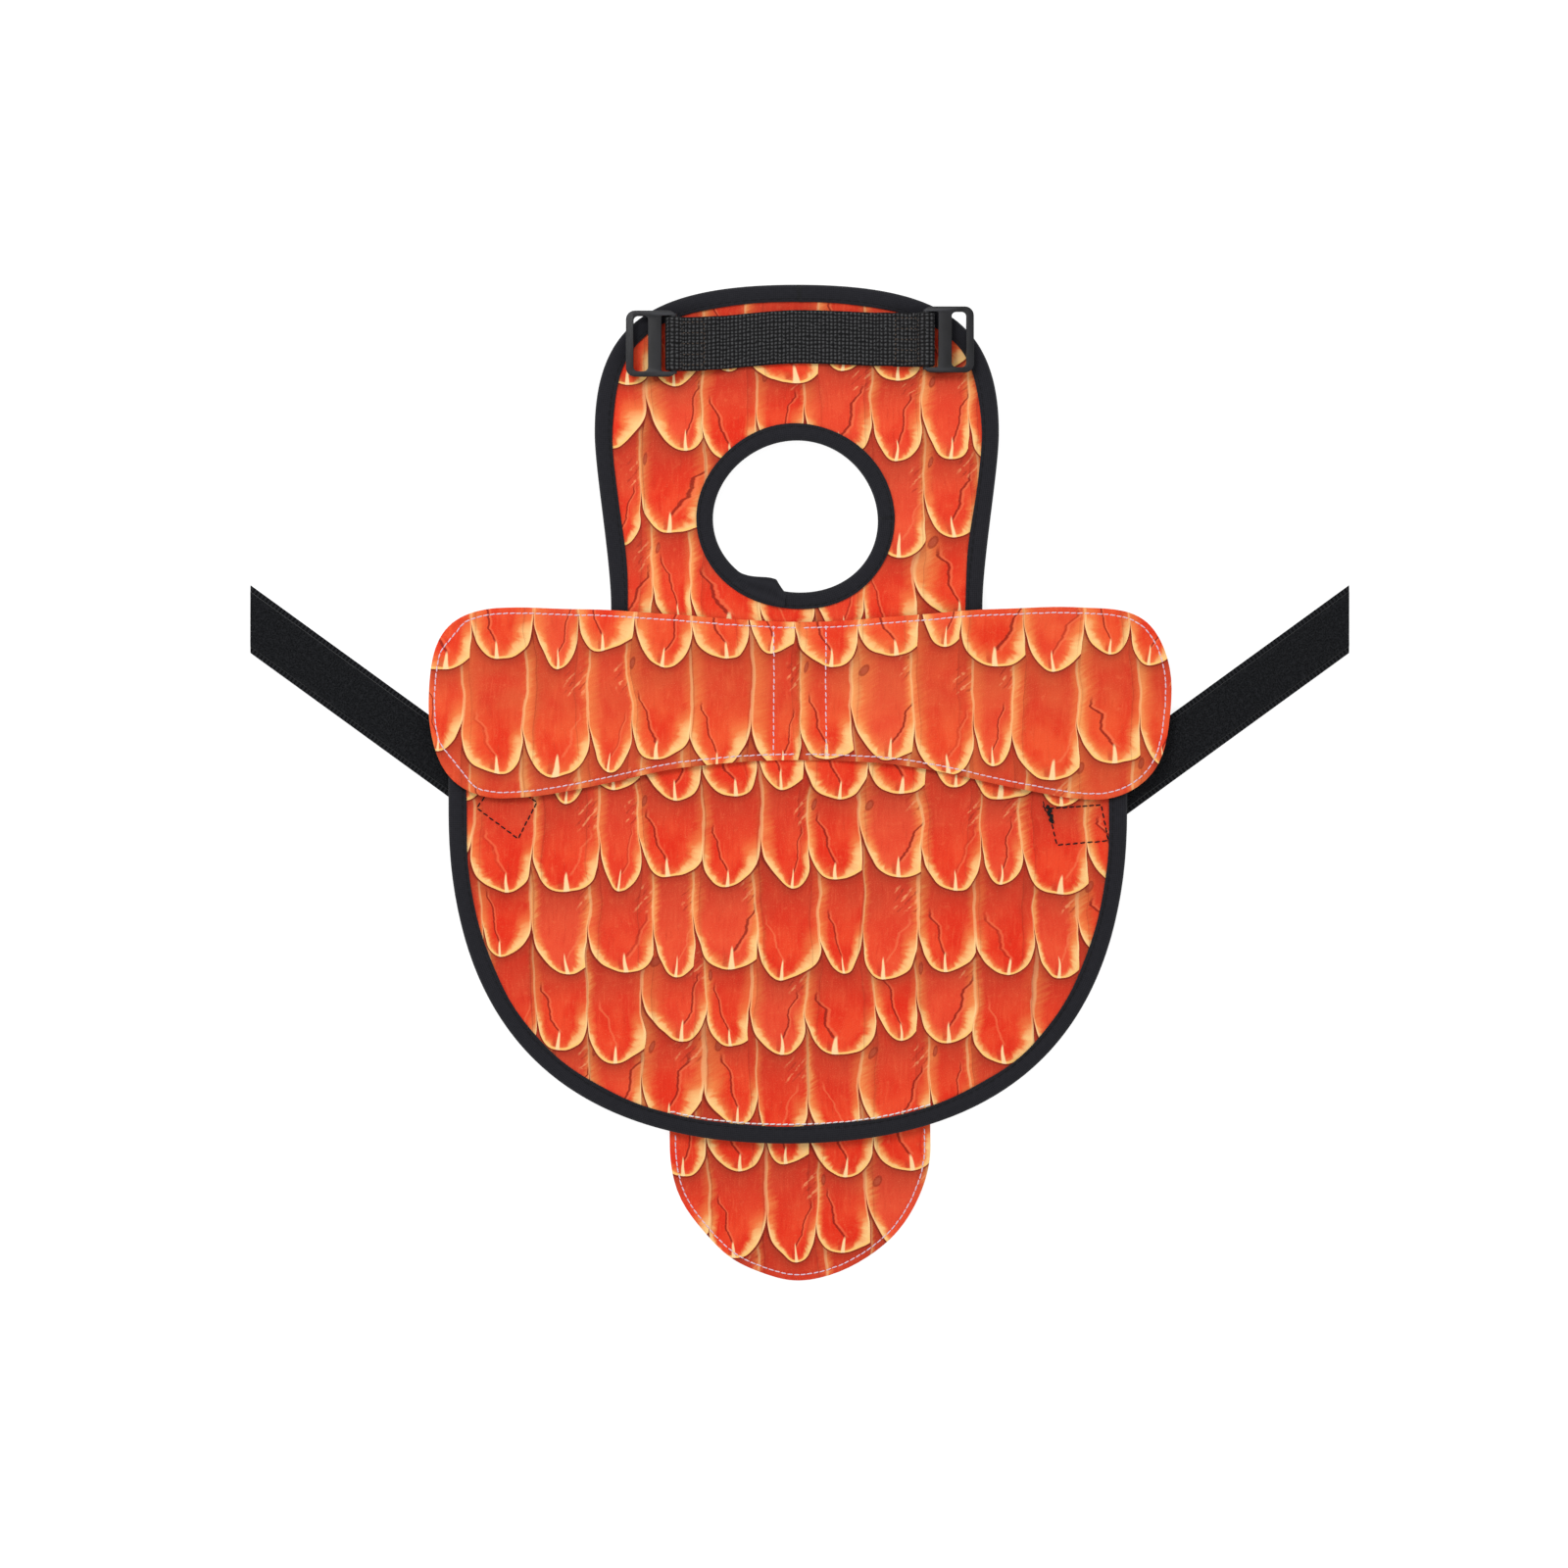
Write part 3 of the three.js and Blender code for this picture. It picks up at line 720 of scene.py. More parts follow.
def printed_cloth(name, pitch, shift_across, shift_along, bloom=0.0):
    """Smooth polyester printed with overlapping feathers, red with golden rims. More bloom gives wider
    glows, wider side columns and warmer reds."""
    made, tree, shader = new_material(name, Roughness=0.6, Specular_IOR_Level=0.12)
    u, v = cloth_place(tree)
    across = u - shift_across + (noise(tree, u * 0.05, v * 0.05, 2) - 0.5) * 5
    along = v - shift_along + (noise(tree, u * 0.06, v * 0.04, 2, 4.0) - 0.5) * 4
    row = (along / pitch).floor
    upper = feather(across, along, row + 1, pitch)
    middle = feather(across, along, row, pitch)
    lower = feather(across, along, row - 1, pitch)
    on_upper = upper["from_rim"].rise(-0.05, 0.05)
    on_middle = middle["from_rim"].rise(-0.05, 0.05)
    here = {
        key: choose(on_upper, choose(on_middle, lower[key], middle[key]), upper[key]) for key in upper
    }
    under_middle = shadow_of(middle) * on_middle.less_from(1)
    shadow = choose(on_upper, shadow_of(upper).do("MAXIMUM", under_middle), 0.0)

    x, rise_up, left, right, luck_a, luck_b, luck_c = (
        here[key] for key in ("x", "above_tip", "left", "right", "luck_a", "luck_b", "luck_c")
    )
    side = x.size
    half = FEATHER_WIDTH / 2
    to_rim = here["from_rim"].do("MINIMUM", left).do("MINIMUM", right)
    from_left = here["from_rim"].do("MINIMUM", left)
    spread = noise(tree, across * 0.13, along * 0.1 + luck_b * 9, 2)
    ragged = noise(tree, across * 0.5 + luck_c * 30, along * 0.5, 4)
    heading = (x * half).do("ARCTAN2", rise_up - 8)
    rays = noise(tree, heading * 5 + luck_b * 20, to_rim * 0.1, 3)
    strokes = noise(tree, across * 0.22 + luck_a * 9, (along - across * 0.5) * 1.1, 4)
    fibres = noise(tree, across * 1.3 + luck_a * 50, along * 0.16, 3)

    # each feather is a little paler or deeper than the next, mottled, and duller where it is overhung
    colour = tint(tree, spread.rise(0.35, 0.68), shade(228, 44, 18), shade(238, 70, 36))
    colour = tint(tree, luck_b.rise(0.55, 1.0) * 0.4, colour, shade(236, 98, 64))
    colour = tint(tree, rise_up.rise(8, 24) * (spread * 0.6 + 0.25), colour, shade(202, 66, 42))
    colour = tint(tree, fibres.rise(0.5, 0.8) * 0.3, colour, shade(244, 104, 64))
    colour = tint(tree, fibres.rise(0.46, 0.22) * 0.35, colour, shade(190, 40, 20))
    colour = tint(tree, ragged.rise(0.55, 0.8) * 0.3, colour, shade(246, 120, 74))
    colour = tint(tree, (spread.rise(0.2, 0.8) * 0.25 + 0.03) * bloom, colour, shade(246, 122, 62))

    # an orange column fades in from each feather's left side, with a brushed inner edge
    left_reach = luck_a * 2.2 + 2.2 + bloom * 2
    left_band = ((from_left + (strokes - 0.5) * 3.2 + (spread - 0.5) * 4) / left_reach).rise(1.25, -0.1)
    left_band = left_band * (luck_c * 0.4 + 0.5) * x.rise(0.35, -0.1)
    right_band = ((right + (strokes - 0.5) * 3) / (luck_c * 1.8 + 1.1)).rise(1.2, 0.0) * x.rise(0, 0.2)
    band = left_band.do("MAXIMUM", right_band * (luck_b * 0.65 + 0.1))
    colour = tint(tree, band, colour, shade(246, 138, 72))
    colour = tint(tree, (band - 0.5) * 1.15, colour, shade(253, 186, 114))

    # the golden glow on both sides of the tip, broad at the lower right
    reach = x.rise(-0.2, 0.8) * 2.2 + side.rise(0.1, 0.75) * 2.2 + luck_a * 0.8 + 0.9 + bloom
    inward = to_rim + (ragged - 0.5) * 2.4 + (rays - 0.5) * 3.0
    glow = (inward / reach).rise(1.1, 0.0) * rise_up.rise(16, 6) * (side.rise(0.04, 0.42) * 0.75 + 0.2)
    colour = tint(tree, glow, colour, shade(248, 156, 84))
    colour = tint(tree, (glow - 0.42) * 1.5, colour, shade(255, 216, 146))

    # the drawn crack, from one side down to the tick
    way = (luck_b - 0.5).do("SIGN")
    turn_one, turn_two = luck_c * 2 + 8, luck_a * 3 + 12.5
    path = rise_up.ramp(4.6, turn_one) * 0.3 + rise_up.ramp(turn_two, turn_two + 2.8) * 0.28
    path = path + rise_up.ramp(turn_one, turn_two) * 0.07
    wobble = (noise(tree, rise_up * 0.7, luck_a * 40, 3) - 0.5) * 0.12
    from_line = (x - path * way - (luck_c - 0.5) * 0.1 - wobble) * half
    stretch = rise_up.rise(4.2, 5.4) * rise_up.rise(turn_two + 6, turn_two + 3)
    colour = tint(tree, (from_line - 0.6).size.rise(0.5, 0.05) * stretch * 0.4, colour, shade(248, 130, 84))
    crack = from_line.size.rise(0.42, 0.14) * stretch * luck_a.rise(0.1, 0.3)
    colour = tint(tree, crack * 0.82, colour, shade(134, 26, 12))

    # some feathers have a small eye under the notch above, and scratches beside it
    up_eye = (rise_up - pitch + luck_c * 2 + 1) / 1.6
    from_eye = (left - 2.4 - up_eye * 0.35) / 0.8
    eye = (from_eye * from_eye + up_eye * up_eye).root
    eye_shown = luck_a.rise(0.55, 0.6)
    colour = tint(tree, eye.rise(1.25, 0.95) * eye_shown * 0.7, colour, shade(150, 46, 26))
    colour = tint(tree, eye.rise(0.8, 0.5) * eye_shown * 0.5, colour, shade(204, 96, 66))
    scratch = ((across + along * -0.9) * 1.5 + luck_b * 6 + (strokes - 0.5) * 3).sine
    scratched = rise_up.rise(pitch - 7, pitch - 5) * rise_up.rise(pitch + 3, pitch) * x.rise(0.2, 0.4)
    scratched = scratched * luck_b.rise(0.55, 0.6) * ragged.rise(0.38, 0.56)
    colour = tint(tree, scratch.rise(0.75, 0.98) * scratched * 0.75, colour, shade(250, 158, 106))
    colour = tint(tree, scratch.rise(-0.8, -0.98) * scratched * 0.6, colour, shade(160, 40, 22))

    # the rim, the tick with its dark edge, and the shadow of the feather above
    rim_width = rise_up.rise(11, 2) * 0.3 + 0.34 + (ragged - 0.5) * 0.35
    rim = (to_rim - rim_width).rise(0.2, -0.14) * (rise_up.rise(14, 8) * 0.5 + 0.42)
    rim_colour = tint(tree, rise_up.rise(9, 1), shade(255, 208, 146), shade(254, 200, 116))
    colour = tint(tree, rim, colour, rim_colour)
    from_tick = (x - (luck_c - 0.5) * 0.1) * half
    width = rise_up * -0.075 + 0.62 - from_tick.size
    high = luck_b * 1.8 + 4.3
    dark_edge = (from_tick + 1.0).size.rise(0.7, 0.2) * rise_up.rise(high, 1.2) * to_rim.rise(0.6, 0.9)
    colour = tint(tree, dark_edge * 0.6, colour, shade(186, 38, 20))
    tick = width.rise(-0.08, 0.2) * rise_up.rise(high + 0.9, high - 0.6)
    colour = tint(tree, tick * 0.95, colour, shade(255, 220, 164))
    colour = tint(tree, shadow, colour, shade(124, 30, 14))

    weave = (u * 15.0).sine * (v * 15.0).sine
    grain = noise(tree, u * 3.2, v * 3.2, 3)
    colour = tint(tree, grain.rise(0.45, 0.2) * 0.3, colour, shade(120, 26, 12))
    colour = tint(tree, grain.rise(0.55, 0.8) * 0.25, colour, shade(255, 170, 120))
    plug(tree, colour, shader.inputs["Base Color"])
    bump(tree, shader, weave * 0.4 + noise(tree, u * 0.9, v * 0.9, 4) * 1.4, 0.05, 0.5)
    return made


def woven_cloth(name, dark, light, pitch, diagonal=False, sheen=0.08):
    """Plain weave, over and under at a pitch in millimetres, with uneven yarns and a little lint."""
    made, tree, shader = new_material(
        name, Roughness=0.9, Sheen_Weight=sheen, Sheen_Roughness=0.45, Specular_IOR_Level=0.12
    )
    u, v = cloth_place(tree)
    if diagonal:
        u, v = (u + v) * 0.7071, (u - v) * 0.7071
    pace = math.pi / pitch
    warp, weft = (u * pace).sine, (v * pace).sine
    weave = warp * weft
    yarn = noise(tree, u * 0.35, v * 3.2, 2) * 0.5 + noise(tree, u * 3.2, v * 0.35, 2, 5.0) * 0.5
    lint = noise(tree, u * 0.7, v * 0.7, 5)
    colour = tint(tree, weave * 0.35 + 0.5, dark, light)
    colour = tint(tree, yarn.rise(0.35, 0.7) * 0.35, colour, light)
    colour = tint(tree, lint.rise(0.4, 0.75) * 0.3, colour, light)
    plug(tree, colour, shader.inputs["Base Color"])
    soft = noise(tree, u * 0.09, v * 0.06, 3, 2.0)
    bump(tree, shader, weave.size * 0.6 + yarn * 0.6 + soft * 9, 0.08)
    return made


def loop_pile(name):
    """The fuzzy face of loop tape, between flat woven edges."""
    made, tree, shader = new_material(
        name, Roughness=0.97, Sheen_Weight=0.12, Sheen_Roughness=0.5, Specular_IOR_Level=0.05
    )
    u, v = cloth_place(tree)
    curls = noise(tree, u * 2.2, v * 2.2, 5)
    tufts = noise(tree, u * 0.8, v * 0.8, 4, 3.0)
    colour = tint(tree, curls.rise(0.3, 0.75), shade(6, 7, 9), shade(34, 35, 38))
    colour = tint(tree, tufts.rise(0.45, 0.8) * 0.5, colour, shade(42, 43, 46))
    edge = v.size.rise(STRAP_WIDTH / 2 - 1.7, STRAP_WIDTH / 2 - 1.4)
    ribs = (u * 5.2).sine * 0.5 + 0.5
    colour = tint(tree, edge, colour, tint(tree, ribs, shade(10, 10, 12), shade(36, 37, 40)))
    plug(tree, colour, shader.inputs["Base Color"])
    bump(tree, shader, choose(edge, curls * 1.6 + tufts, ribs * 0.5), 0.25)
    return made


def ribbed_webbing(name):
    """Heavy flat webbing: cross ribs of warp floats, each crossed by fine lengthwise yarns."""
    made, tree, shader = new_material(
        name, Roughness=0.7, Sheen_Weight=0.03, Sheen_Roughness=0.4, Specular_IOR_Level=0.14
    )
    u, v = cloth_place(tree)
    rib = (u / RIB).floor
    shift = noise(tree, rib * 5.3, v * 0.5, 2, 3.0) * 9
    yarns = (v * 5.8 + shift).sine * 0.5 + 0.5
    floats = (u * (math.pi * 2 / RIB) + noise(tree, u * 0.25, v * 0.6, 2) * 1.5).sine * 0.5 + 0.5
    uneven = noise(tree, u * 0.9, v * 1.4, 4)
    # painted highlight on the tops of the floats and yarns, with painted shade in the gaps between them;
    # uneven makes it stronger in places
    colour = tint(tree, floats * yarns * (uneven * 1.2 + 0.1), shade(5, 5, 6), shade(98, 98, 100))
    colour = tint(tree, uneven.rise(0.42, 0.7) * 0.35, colour, shade(26, 26, 27))
    plug(tree, colour, shader.inputs["Base Color"])
    bump(tree, shader, yarns * 0.7 + uneven * 0.5, 0.1)
    return made


def moulded_plastic(name):
    """Satin acetal with faint flow marks, and edges made paler by a painted highlight."""
    made, tree, shader = new_material(name, Roughness=0.34, Specular_IOR_Level=0.34)
    x, y, z = solid_place(tree)
    marks = noise(tree, x * 0.5, y * 0.12, 3)
    grain = noise(tree, x * 6, y * 6, 3, z * 6)
    pointed = tree.nodes.new("ShaderNodeNewGeometry")
    # painted highlight: worn marks the convex edges, which are made paler as if they caught the light
    worn = Wire(tree, pointed.outputs["Pointiness"]).rise(0.53, 0.62)
    colour = tint(tree, marks.rise(0.3, 0.7), shade(14, 14, 17), shade(24, 24, 28))
    colour = tint(tree, worn * 0.5, colour, shade(60, 61, 66))
    plug(tree, colour, shader.inputs["Base Color"])
    plug(tree, marks * 0.16 + 0.3, shader.inputs["Roughness"])
    bump(tree, shader, grain, 0.02)
    return made


def sewing_thread(name, dark, light):
    """Two-ply thread, with the twist showing as slanting bands."""
    made, tree, shader = new_material(name, Roughness=0.7, Sheen_Weight=0.05, Specular_IOR_Level=0.15)
    x, y, z = solid_place(tree)
    twist = ((x + y + z) * 14).sine * 0.5 + 0.5
    colour = tint(tree, twist, dark, light)
    plug(tree, colour, shader.inputs["Base Color"])
    bump(tree, shader, twist, 0.05)
    return made


RIB = 1.15  # webbing rib to webbing rib

print_panel = printed_cloth("printed panel cloth", 24.5, 3.1, -28.9)
print_wing = printed_cloth("printed wing cloth", 29.5, 0.4, 5.5, bloom=0.8)
print_tail = printed_cloth("printed tail cloth", 24.5, 5.0, -138.0, bloom=-0.5)
lining_cloth = woven_cloth("black lining", shade(14, 14, 17), shade(36, 36, 40), 0.45)
padding_cloth = woven_cloth(
    "interlining felt", shade(196, 190, 178), shade(228, 224, 214), 0.9, sheen=0.2
)
bias_cloth = woven_cloth("black bias tape", shade(18, 18, 22), shade(42, 42, 47), 0.4, diagonal=True)
loop_tape = loop_pile("loop tape")
backing_cloth = woven_cloth("strap backing", shade(10, 10, 12), shade(32, 32, 35), 0.6)
webbing_cloth = ribbed_webbing("ribbed webbing")
plastic = moulded_plastic("slider plastic")
white_thread = sewing_thread("white thread", shade(214, 176, 192), shade(248, 222, 232))
seam_thread = sewing_thread("seam thread", shade(222, 208, 212), shade(255, 250, 250))
brown_thread = sewing_thread("worn black thread", shade(32, 27, 25), shade(98, 84, 75))
black_thread = sewing_thread("black thread", shade(8, 8, 10), shade(30, 29, 31))


# ------------------------------------------------------------------ the bound panel

def area_of(line):
    """The area inside a closed line, in square metres."""
    x, y = line[:, 0], line[:, 1]
    return abs(np.dot(x, np.roll(y, -1)) - np.dot(y, np.roll(x, -1))) / 2 * MM * MM


def declare(line, less=0.0):
    """Works out the size and area of a sheet cut to this line, which nothing then uses. less is the area of
    its hole.
    """
    width, length = (line.max(0) - line.min(0)) * MM
    area = min(area_of(line) - less, width * length)


def over_neck(piece):
    """Bakes a piece's place into its mesh."""
    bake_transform(piece)


def make_panel():
    """The three layers, cut alike and held inside the binding."""
    edge = inset(panel, 1.6)
    hole = opening_outline(1.6)
    flat, faces = cut_cloth(edge, 2.6, holes=[hole])
    hole_area = area_of(hole)
    layers = [
        ("panel_face", FACE_TOP, 0.7, print_panel, "face", "printed_fabric"),
        ("panel_interlining", INTERLINING_TOP, 0.75, padding_cloth, "interlining", "interlining"),
        ("panel_lining", LINING_TOP, 0.65, lining_cloth, "lining", "lining_fabric"),
    ]
    for name, level, thickness, cloth, node, slot in layers:
        height = lambda x, y, level=level: panel_top(x, y, level)
        piece = lay(name, flat, faces, height, thickness, cloth)
        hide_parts(f"back_{node}", f"breast_{node}")
        over_neck(piece)
        declare(edge, less=hole_area)


def binding_section(width):
    """Tape folded round an edge: both lips, the rounded fold, and the turned-in raw edges."""
    top, under = BINDING_TOP, BINDING_UNDER
    under_lip = [
        (width, under + 0.35), (width - 0.35, under + 0.05), (width * 0.62, under), (1.3, under + 0.05),
    ]
    fold = [
        (0.45, under + 0.4), (0.08, under + 1.1), (0, (top + under) / 2),
        (0.08, top - 1.1), (0.45, top - 0.4),
    ]
    upper_lip = [
        (1.2, top - 0.02), (width * 0.42, top + 0.12), (width * 0.62, top + 0.05),
        (width - 1.15, top - 0.16), (width - 0.8, top - 0.2), (width - 0.4, top - 0.1),
        (width, top - 0.3), (width, top - 0.62),
    ]
    hollow = [
        (width - 0.5, top - 0.85), (1.7, top - 0.85), (1.1, (top + under) / 2), (1.7, under + 0.7),
        (width - 0.5, under + 0.75),
    ]
    return np.array([*under_lip, *fold, *upper_lip, *hollow])


def puff(seed):
    """Tape that swells between its stitches, wanders a little in width and lies as the panel does."""
    def shape(places, line, run):
        swell = 0.09 * np.sin(run * 2.4 + np.sin(run * 0.3)) + 0.12 * ripple(run, run * 0, 9, seed)
        wander = 1 + 0.045 * ripple(run, run * 0, 26, seed + 1)
        share = np.clip((places[..., 1] - BINDING_UNDER) / (BINDING_TOP - BINDING_UNDER), 0, 1)
        middle = np.exp(-(((places[..., 0] - 2.2) / 1.6) ** 2))
        places = places.copy()
        places[..., 1] += swell[:, None] * share * middle + lie(line[:, 0], line[:, 1])[:, None]
        places[..., 0] *= wander[:, None]
        return places
    return shape


def binding_top(x, y):
    return BINDING_TOP - 0.2 + lie(x, y)


def bind(name, edge, width, seed, row, pitch, nodes):
    """Folds tape of this width round an edge and sews it down along a row."""
    tape = sweep(name, edge, binding_section(width), bias_cloth, puff(seed))
    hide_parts(*nodes)
    over_neck(tape)
    stitches = sew(f"{name}_stitches", row, binding_top, black_thread, pitch, 0.11, closed=True)
    over_neck(stitches)


def make_bindings():
    row = inset(panel, BINDING_WIDTH - LIP)
    nodes = ["back_binding", "breast_binding"]
    bind("panel_binding", resample(panel, 1.4), BINDING_WIDTH, 31, row, 2.5, nodes)
    edge = resample(opening_outline()[::-1], 1.0)
    row = opening_outline(OPENING_BINDING - LIP)
    nodes = ["head_opening_binding_rear", "head_opening_binding_front"]
    bind("opening_binding", edge, OPENING_BINDING, 41, row, 2.3, nodes)


def make_raw_end():
    """The opening's tape laps over its own start. It grows wider inwards there, and is cut aslant."""
    share = np.linspace(0, 1, 30)  # of the way along the lap
    turn = np.radians(222 + 41 * share)
    from_middle = np.stack([np.cos(turn) * (OPENING_HALF + 0.1), np.sin(turn) * (OPENING_LENGTH + 0.1)], 1)
    outwards = from_middle / np.linalg.norm(from_middle, axis=1)[:, None]
    lap_width, lap_reach, cut = 4.2, 3.5, 0.23
    section = np.array([
        (0.0, -2.6), (-0.02, -1.3), (0.02, -0.3), (0.12, 0.1), (0.3, 0.24), (0.6, 0.26),
        (0.85, 0.16), (1.0, -0.1), (1.0, -0.5), (0.5, -0.7), (0.2, -1.3), (0.15, -2.4),
    ])

    def shape(places, line, run):
        places = places.copy()
        reach = lap_reach * smooth(share, 0, 0.7) * np.minimum(1, (1 - share) / cut)
        rise = 0.2 * smooth(share, 0.3, 1) - 0.3 * (1 - smooth(share, 0, 0.2))
        places[..., 0] = lap_width * places[..., 0] - reach[:, None] * (1 - places[..., 0])
        places[..., 1] += BINDING_TOP + rise[:, None]
        return places

    line = OPENING_MIDDLE + from_middle
    piece = sweep(
        "opening_binding_end", line, section, bias_cloth, shape, closed=False, normals=outwards
    )
    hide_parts("head_opening_binding_end")
    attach(piece, "back")


# ------------------------------------------------------------------ the wing flap

TURNED_ROWS = (0.3, 0.7, 1.2, 1.6, 2.0, 2.4, 3.0, 4.2)  # where a turned edge needs points


def over_wing(piece):
    """Bakes a piece's place into its mesh."""
    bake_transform(piece)


def wing_lining_height(x, y):
    """The lining lies under the face and comes up a little at the turned edge."""
    away = nearest(np.stack([x, y], 1), wing)[0]
    return wing_height(x, y) - 0.72 + 0.25 * (1 - smooth(away, 0.2, 0.9))


def make_wing():
    """The flap's face and lining, parted at the middle, and their stitches."""
    flat, faces = cut_cloth(wing, 2.6, TURNED_ROWS)
    face = lay("wing_face", flat, faces, wing_height, 0.62, print_wing)
    under = inset(wing, 0.25)
    flat, faces = cut_cloth(under, 2.6, (0.4, 0.9, 1.6, 2.2, 3.0))
    lining = lay("wing_lining", flat, faces, wing_lining_height, 0.55, lining_cloth)
    sheets = [(face, "face", wing, "printed_fabric"), (lining, "lining", under, "lining_fabric")]
    for side, name in ((-1, "left"), (1, "right")):
        for sheet, layer, edge, slot in sheets:
            piece = halve(sheet, f"wing_{name}_{layer}_cloth", side)
            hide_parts(f"wing_{name}_{layer}", f"wing_centre_{layer}")
            over_wing(piece)
            declare(edge[edge[:, 0] * side >= 0])
        row = inset(wing, TOPSTITCH)
        row = unroll(row[row[:, 0] * side > 0.8])
        if name == "left":  # its row was sewn straight across both corners
            row = cut_across(row, (-WING_HALF + 9, 51), (-WING_HALF, 39))
            row = cut_across(row, (-WING_HALF, 10.5), (-WING_HALF + 13, -5))
        stitches = topstitch(f"wing_{name}_topstitches", row, wing_height)
        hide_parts(f"wing_{name}_topstitch")
        over_wing(stitches)
        column = np.array([(CENTRE_ROW, 46), (CENTRE_ROW - 0.1, 30), (CENTRE_ROW + 0.1, 7.4)]) * [side, 1]
        stitches = topstitch(f"wing_centre_{name}_stitches", column, wing_height)
        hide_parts(f"wing_centre_stitch_{name}")
        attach(stitches, "back")
    drop(face)
    drop(lining)


# ------------------------------------------------------------------ the tail flap

def over_tail(piece):
    """Bakes a piece's place into its mesh."""
    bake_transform(piece)


def tail_lining_height(x, y):
    return tail_height(x, y) - 0.7


def make_tail():
    """The flap's face and lining, its topstitches, and the seam that holds it behind the hem."""
    flat, faces = cut_cloth(tail, 2.4, TURNED_ROWS)
    face = lay("tail_face_cloth", flat, faces, tail_height, 0.62, print_tail)
    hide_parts("tail_face", "tail_seam_allowance")
    over_tail(face)
    declare(tail)
    under = inset(tail, 0.25)
    flat, faces = cut_cloth(under, 2.4, (0.4, 0.9, 1.6, 2.2))
    lining = lay("tail_lining_cloth", flat, faces, tail_lining_height, 0.55, lining_cloth)
    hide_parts("tail_lining")
    over_tail(lining)
    declare(under)
    row = inset(tail, TOPSTITCH)
    row = unroll(row[~inside(row, inset(panel, -0.5))])
    stitches = topstitch("tail_topstitches", row, tail_height)
    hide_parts("tail_topstitch")
    over_tail(stitches)
    seam = inset(panel, BINDING_WIDTH + 0.45)
    seam = seam[(np.abs(seam[:, 0]) < TAIL_HALF) & (seam[:, 1] < 0)]
    seam = seam[np.argsort(seam[:, 0])]
    zigzag = seam + np.stack([seam[:, 0] * 0, 0.28 * np.sin(seam[:, 0] * 1.9)], 1)
    stitches = sew("tail_seam_stitches", zigzag, panel_top, seam_thread, 1.9, 0.22)
    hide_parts("tail_seam_stitch")
    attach(stitches, "back")


# ------------------------------------------------------------------ the side straps

STRAP_TURN = math.radians(36)


def strap_frame(side):
    """The strap's fold point and its directions along and across."""
    name = "left" if side < 0 else "right"
    fold = joint_place(f"strap_{name}_fold")[:2]
    along = np.array([side * math.cos(STRAP_TURN), math.sin(STRAP_TURN)])
    return fold, along, np.array([-along[1], along[0]])


def strap_end(side, across):
    """How far along the strap its straight-cut end is, at a place across it."""
    fold, along, sideways = strap_frame(side)
    return (side * SPAN_HALF - fold[0] - across * sideways[0]) / along[0]


def strap_lift(run, side):
    """How far the laid strap stands off the table towards its end."""
    return 0.3 * smooth(run, 12, 40) * (1 + ripple(run, run * 0, 40, 50 + side))


def strap_piece(name, side, start, end, section, material, fuzz=0.0):
    """A stretch of strap: a closed section of (across, height) pairs from one distance along it to
    another, or to the straight cut where end is None."""
    fold, along, sideways = strap_frame(side)
    section = np.asarray(section, float)
    across, height = section[:, 0], section[:, 1]
    finish = strap_end(side, across) if end is None else np.full(len(across), float(end))
    count = int(finish.max() - start) + 1
    t = np.linspace(0, 1, count)[:, None]
    run = start + (finish[None] - start) * t
    side_ways = np.repeat(across[None], count, 0)
    up = np.repeat(height[None], count, 0)
    if fuzz:
        pile = (np.abs(side_ways) < STRAP_WIDTH / 2 - 1.6) & (up > STRAP_BACKING + 0.3)
        up = up + pile * luck.uniform(-fuzz, fuzz, up.shape)
    up = up + strap_lift(run, side)
    x = fold[0] + along[0] * run + sideways[0] * side_ways
    y = fold[1] + along[1] * run + sideways[1] * side_ways
    points = np.stack([x, y, up], 2).reshape(-1, 3)
    flat = np.stack([run, side_ways], 2).reshape(-1, 2)
    piece = new_piece(name, points, ring_faces(count, len(section)), material, flat)
    face_outwards(piece)
    round_off(piece, 60)
    return piece


def tape_section(low, high, width, edge_drop=0.25, cells=22):
    """Flat tape with thinner woven edges."""
    half = width / 2
    across = np.concatenate([
        np.linspace(-half, -half + 1.5, 4),
        np.linspace(-half + 1.6, half - 1.6, cells),
        np.linspace(half - 1.5, half, 4),
    ])
    at_edge = np.abs(across) > half - 1.55
    past = ((np.abs(across) - half + 0.5) / 0.5).clip(0, 1)
    rounded = 0.2 * (1 - np.sqrt(1 - past**2))
    top = high - edge_drop * at_edge - rounded
    bottom = np.linspace(half, -half, 8)
    return [*zip(across, top), *zip(bottom, np.full(8, low))]


def over_strap(piece, side, at):
    """Bakes a piece's place into its mesh; the strap places it works out are not used."""
    fold, along, _ = strap_frame(side)
    start, end = fold + along * (at - 4), fold + along * (at + 4)
    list(start * MM)
    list(end * MM)
    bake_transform(piece)


